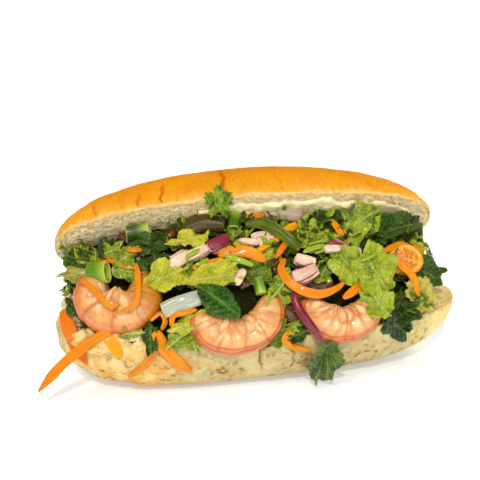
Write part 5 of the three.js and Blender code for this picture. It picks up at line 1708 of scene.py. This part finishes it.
# Leaves that are part of the heap, in the same way but without a slot
heapLeaves = [
    ("dark", (-28, 31, 2.4), 20, 14, 9, {"tilt": 7, "tone": 0.4}),
    ("dark", (-54, 17, 2.4), 5, 19, 11, {"bank": 11, "tone": 0.3}),
    ("lettuce", (-74, 15, 2.4), 10, 13, 9, {"tilt": 9}),
    ("dark", (-86, 13, 1.9), 172, 20, 10, {"tilt": 6, "tone": 0.4}),
    ("pale", (-88, 6, 2.6), 190, 22, 10, {"tilt": 6}),
    ("lettuce", (-67, 11, 2.4), 30, 14, 9, {"bank": 12}),
    ("dark", (-58.5, -30, 2.9), -95, 15, 7, {"tilt": 7}),
    ("lettuce", (-44, -31, 2.4), 35, 17, 9, {"tilt": 6, "tone": -0.3}),
    ("frill", (-39, -25, 3.4), 20, 20, 8, {"bank": -15}),
    ("lettuce", (-39, -33, 1.9), -70, 12, 7, {"tilt": 9}),
    ("cilantro", (-3, -3, 2.4), 25, 15, 13, {"tilt": 7}),
    ("lettuce", (7, -13, 3.2), 70, 20, 13, {"tilt": 5, "tone": 0.2}),
    ("lettuce", (28, 9, 2.4), 30, 13, 10, {"tilt": 8}),
    ("cilantro", (26, 17, 2.4), 15, 14, 8, {"tilt": 7, "tone": 0.3}),
    ("dark", (37, 24, 2.4), 45, 20, 12, {"tilt": 12}),
    ("lettuce", (49, 13, 3.0), 50, 19, 12, {"tilt": 5, "tone": 0.4}),
    ("dark", (60, 9, 2.4), 10, 12, 9, {"tilt": 9, "tone": 0.3}),
    ("cilantro", (74, -24, 2.8), -25, 21, 12, {"tilt": 7, "kind": "fan"}),
    ("pale", (70, -30, 1.9), -10, 15, 6, {"tilt": 7}),
    ("dark", (64, -34, 1.9), -45, 20, 14, {"tilt": 6, "tone": -0.6}),
    ("cilantro", (3, -34, 1.9), 40, 17, 11, {"tilt": 7, "tone": 0.2}),
    ("dark", (13, -35, 1.9), 20, 12, 8, {"tilt": 9, "kind": "fan"}),
    ("dark", (-92, -10, 1.9), -70, 15, 12, {"tilt": 6, "kind": "fan"}),
    ("dark", (16, 31, 1.4), 15, 10, 5, {"tilt": 6}),
    ("pale", (-67, -27, 1.4), 0, 13, 5, {"tilt": 7, "tone": -0.4}),
    ("lettuce", (-93, 20, 1.4), 150, 12, 8, {"tilt": 7}),
    ("parsley", (24, 36, 3.0), 75, 9, 8, {"tilt": 40, "kind": "fan"}),
    ("dark", (-57, 2, 2.4), -60, 14, 9, {"tilt": 8, "tone": 0.3}),
    ("lettuce", (-66, 3, 3.6), -20, 15, 9, {"tilt": 8, "tone": -0.2}),
]

# Thin stalks among the leaves: routes on the filling and radius
stalks = [
    ([(12, -4, 6), (6, -12, 6.5), (0, -18, 6)], 0.7),
    ([(24, 9, 4), (31, 10, 5), (38, 9, 4)], 0.8),
    ([(26, 4, 4), (32, 6, 5), (38, 12, 4)], 0.8),
    ([(-40, 6, 4), (-34, 9, 6), (-30, 11, 5)], 1.4),
    ([(48, -2, 10), (54, 0, 11), (60, 3, 10)], 1.0),
    ([(-8, 14, 2), (-2, 20, 2), (6, 24, 2)], 0.6),
    ([(-30, -26, 4), (-24, -30, 4), (-18, -31, 3)], 0.8),
]


leafColours = {
    "lettuce": {"deep": "#4c7a00", "bright": "#b4c41c", "vein": "#d2d668", "gloss": 0.95},
    "frill": {"deep": "#8ba600", "bright": "#dcd62c", "vein": "#e6e080", "gloss": 0.55},
    "pale": {"deep": "#8f9f2c", "bright": "#d4c85c", "vein": "#ece498", "gloss": 0.25},
    "dark": {"deep": "#142e02", "bright": "#3c5c08", "vein": "#74902a", "gloss": 0.5},
    "mint": {
        "deep": "#17470a", "bright": "#477c0c", "vein": "#6a9430", "gloss": 0.3, "spacing": 2.6,
        "relief": 0.9,
    },
    "cilantro": {"deep": "#2a4a02", "bright": "#75920c", "vein": "#90a42c", "gloss": 0.45, "fan": True},
    "parsley": {"deep": "#3f6a04", "bright": "#9bb81c", "vein": "#bcc850", "gloss": 0.3, "fan": True},
}

# Places the scattered leaves keep clear of: along, up and half sizes
bareSpots = [
    (-72, -9, 22, 19), (-16, -22, 26, 20), (37, -22, 22, 18), (-42, -15, 12, 7), (-58, -34, 24, 8),
    (-66, 27, 26, 7),
]
filler = {"count": 230, "lifts": (-3.4, 1.6), "lengths": (8, 18), "seed": 4, "endLeaves": 26, "endSeed": 17}
# few faces for each of the many scattered leaves
scattered = {"rings": 7, "sectors": 30, "teeth": 12}
# lettuce of its own curls and sways more than other leaves
crispLeaf = {"curl": 2.6, "sway": 2.4}


# Torn leaves scattered over the whole heap at random, mostly deep green, under the placed ones. The
# order in which the numbers are drawn sets where each leaf lies.
def fillerLeaves():
    draws = np.random.default_rng(filler["seed"])
    leaves = []
    for _ in range(filler["count"]):
        along = draws.uniform(-93, 88)
        (lowUp, _), (highUp, _) = mouthRims(np.clip(along, -92, 88))
        up = lerp(float(lowUp) + 2, float(highUp) - 3, draws.uniform())
        if any(((along - x) / w) ** 2 + ((up - y) / h) ** 2 < 1 for x, y, w, h in bareSpots):
            continue
        length = draws.uniform(*filler["lengths"])
        finish = str(draws.choice(["lettuce", "dark", "cilantro", "frill"], p=[0.33, 0.4, 0.2, 0.07]))
        spot = (along, up, draws.uniform(*filler["lifts"]))
        heading, width = draws.uniform(0, 360), length * draws.uniform(0.5, 0.85)
        leaves.append((finish, spot, heading, length, width, {
            "tilt": draws.uniform(-20, 30),
            "bank": draws.uniform(-38, 38),
            "fold": draws.uniform(-0.6, 2.2),
            "bend": draws.uniform(-1.5, 1.5),
            "tone": draws.uniform(-0.8, 0.5),
            "kind": str(draws.choice(["torn", "fan"], p=[0.75, 0.25])),
            "ruffle": draws.uniform(0.8, 2.4),
            "curl": draws.uniform(0.8, 2.6),
            **scattered,
        }))
    return leaves


heapCore = {"middle": -3.5, "half": 88.5, "sunk": 5.4, "inset": 0.6, "backHalf": 2.5}


# The heap's core: rings from the lower rim over a lumpy sunk surface to the upper rim, then back to
# the hinge, drawn in towards both ends.
def heapCoreGrid(rows=150, outer=60):
    plan = heapCore
    share = np.sin(np.pi / 2 * np.linspace(-1, 1, rows))
    along = plan["middle"] + share[:, None] * plan["half"]
    (lowUp, lowOut), (highUp, _) = mouthRims(along)
    across = np.linspace(0, 1, outer)[None]
    up = lerp(lowUp + plan["inset"], highUp - plan["inset"], across)
    surface = heapSurface(along, up)
    flat = np.stack([along + 0 * up, up, 0 * up], -1)
    lumps = noiseLayers(flat, 91, (1.8, 9), (0.9, 3.5))
    out = surface - plan["sunk"] * np.sin(np.pi * across) ** 0.3 + lumps
    backUp = np.concatenate([plan["backHalf"] + 0 * along, -plan["backHalf"] + 0 * along], 1)
    backOut = np.full(backUp.shape, mouth["back"])
    up, out = np.concatenate([up, backUp], 1), np.concatenate([out, backOut], 1)
    shrink = np.sqrt(np.maximum(1 - share[:, None] ** 8, 0.02))
    middle = (mouth["back"] + lowOut) / 2
    out = middle + (out - middle) * shrink
    grid = mouth["centre"] + (up * shrink)[..., None] * mouth["up"] + out[..., None] * mouth["out"]
    grid[..., 0] = along
    return grid


# Leaves lie over both ends of the core: each at a random spot of its end section, facing outwards.
def endLeaves(grid):
    draws = np.random.default_rng(filler["endSeed"])
    shells = []
    for sign, row in ((-1, 7), (1, -8)):
        ring, outward = grid[row], np.array([sign, 0.0, 0.0])
        middle = ring.mean(0)
        for number in range(filler["endLeaves"]):
            edge = ring[draws.integers(len(ring))]
            spot = lerp(middle, edge, np.sqrt(draws.uniform(0, 0.9))) + outward * draws.uniform(-1.0, 1.5)
            out = unit(outward + draws.normal(0, 0.35, 3))
            ahead = unit(np.cross(out, draws.normal(0, 1, 3)))
            axes = np.stack([ahead, np.cross(out, ahead), out])
            length = draws.uniform(12, 19)
            width = length * draws.uniform(0.55, 0.85)
            shells.append(leafShell((0, 0, 0), 0, length, width, ruffle=1.6, tone=draws.uniform(-0.5, 0.2),
                                    seed=400 + number, frame=(spot, axes), **scattered))
    return shells


# The core's colours are painted shade for the hollows of the heap
coreLook = {"shade": ("#182205", "#2a1a08"), "tints": {"bits": ("#34480c", 0.5)}, "bump": (1.2, 0.9)}
sauceLook = {"brown": ("#3e1c00", "#6a3300"), "bump": (0.4, 0.6)}


# The core is painted shade: a dark mass of deep green and brown patches with green bits, between the leaves
def coreFinish():
    material, tree = newFinish("core", 0.7, shine=0.1)
    spot = objectSpot(tree)
    bits = patches(tree, spot, 1.8, 0.4, 0.65)
    surface = blendColours(tree, patches(tree, spot, 6.0, 0.4, 0.6), *coreLook["shade"])
    surface = layTints(tree, surface, coreLook["tints"], bits=bits)
    return dress(material, surface, bits, *coreLook["bump"])


def sauceFinish():
    material, tree = newFinish("sauce", 0.2, coat=0.5, coatRoughness=0.05)
    spot = objectSpot(tree)
    surface = blendColours(tree, patches(tree, spot, 2.5, 0.35, 0.65), *sauceLook["brown"])
    return dress(material, surface, patches(tree, spot, 1.0, 0.3, 0.7), *sauceLook["bump"])


# Patches of brown sauce: [along, up, lift], half sizes along, up and out
sauceDrops = [
    ((27, -11, 0.6), (7, 5, 1.2)), ((6, 1, 0.2), (3.6, 6, 1.2)), ((11, -24, 0.2), (5, 8, 1.2)),
    ((-44, 20, -0.6), (6, 3, 1.0)), ((-66, 5, 0.4), (6, 3, 1.0)), ((-11, -5, 0.2), (5, 4, 1.2)),
    ((60, 18, -0.4), (5, 4, 1.0)), ((-64, 21, 0.4), (5, 2.6, 1.0)), ((31, 2, -0.2), (6, 4, 1.2)),
]
# Small cuts among the leaves: routes and widths, under the names of their finishes
scraps = {
    "carrot": [
        ([(64, 22, 3.5), (70, 21, 4), (76, 22, 3)], 3.0), ([(-5, 27, 2), (0, 27, 2.6), (5, 27, 2)], 2.6),
        ([(-66, 15, 4), (-62, 14, 4.4), (-58, 14, 3.6)], 2.4),
        ([(30, -30, 2), (34, -33, 2.4), (38, -34, 2)], 2.2),
    ],
    "onion": [
        ([(-73, 7, 4), (-70, 4, 4.6), (-68, 1, 4)], 5.0), ([(-10, -1, 5), (-13, -5, 5.6), (-15, -9, 5)], 4.0),
        ([(44, -2, 3), (48, 2, 3), (50, 6, 3)], 4.0),
    ],
    "stalk": [([(-34, 3, 5), (-30, 4, 5.6), (-27, 6, 5)], 2.0), ([(20, 5, 5), (27, 7, 6), (33, 7, 5)], 2.4)],
}


def makeScraps(finishes):
    for name, cuts in scraps.items():
        shells = [
            stripShell(route, width, 1.3, (0.5, 0.5), power=6, groove=0.2, seed=60 + number)
            for number, (route, width) in enumerate(cuts)
        ]
        makePiece("salad_" + name + "_scraps", shells, finishes[name], "salad")


def makeSalad(finishes):
    core = heapCoreGrid()
    makePiece("salad_core", ringShell(core), coreFinish(), "salad")
    for number, (name, given) in enumerate(looseLeaves.items()):
        slot, finish, spot, heading, length, width, more = given
        usual = {"rings": 20, "sectors": 96, **(crispLeaf if slot == "lettuce" else {})}
        shell = leafShell(spot, heading, length, width, seed=number + 1, **{**usual, **more})
        makePiece(name + "_blade", shell, finishes[finish], name)
    heaps = {}
    for number, (finish, spot, heading, length, width, more) in enumerate(heapLeaves + fillerLeaves()):
        shell = leafShell(spot, heading, length, width, seed=number + 40, blister=0.4, **more)
        heaps.setdefault(finish, []).append(shell)
    ends = endLeaves(core)
    heaps["dark"] += ends[::2]
    heaps["lettuce"] += ends[1::2]
    for finish, shells in sorted(heaps.items()):
        makePiece("salad_" + finish + "_leaves", shells, finishes[finish], "salad")
    stalkShells = [
        stripShell(route, 2 * radius, 2 * radius, (0.8, 0.7), power=2, columns=12, seed=number)
        for number, (route, radius) in enumerate(stalks)
    ]
    makePiece("salad_stalks", stalkShells, finishes["stalk"], "salad")
    drops = []
    for number, (spot, sizes) in enumerate(sauceDrops):
        point, axes = placeAxes(spot, 20 * number)
        drops.append(lumpShell(point, axes, sizes, number, 18, 30, 0.2))
    makePiece("salad_sauce", drops, sauceFinish(), "salad")


# A pale floor under the roll, wide enough to fill the view, that glows a little
floorPlan = {
    "width": 6000.0,
    "colour": (0.83, 0.91, 1.0, 1.0),
    "glow": (0.93, 1.0, 1.14, 1.0),
    "glowStrength": 0.29,
}


def makeFloor(plan):
    half = plan["width"] / 2 * mm
    mesh = bpy.data.meshes.new("floor")
    corners = [(-half, -half, 0), (half, -half, 0), (half, half, 0), (-half, half, 0)]
    mesh.from_pydata(corners, [], [(0, 1, 2, 3)])
    material, _ = newFinish("floor", 0.9)
    glow = {"Emission Color": plan["glow"], "Emission Strength": plan["glowStrength"]}
    mesh.materials.append(dress(material, plan["colour"], **glow))
    floor = bpy.data.objects.new("floor", mesh)
    bpy.context.scene.collection.objects.link(floor)


# Building

makeCamera(cameraPlan)
makeLights()
makeSky(skyPlan)
makeFloor(floorPlan)
makeGroups()
print("studio and shader groups made")
makeRoll(breadFinish())
print("roll made")
makeMayonnaise()
makePrawns()
print("prawns made")
makeScallions()
finishes = makeSingles()
finishes["carrot"] = makeCarrots()
finishes["onion"] = makeOnions()
makeTomato()
print("vegetables made")
finishes.update({name: leafFinish(name, **values) for name, values in leafColours.items()})
makeSalad(finishes)
makeScraps(finishes)
print("salad made")
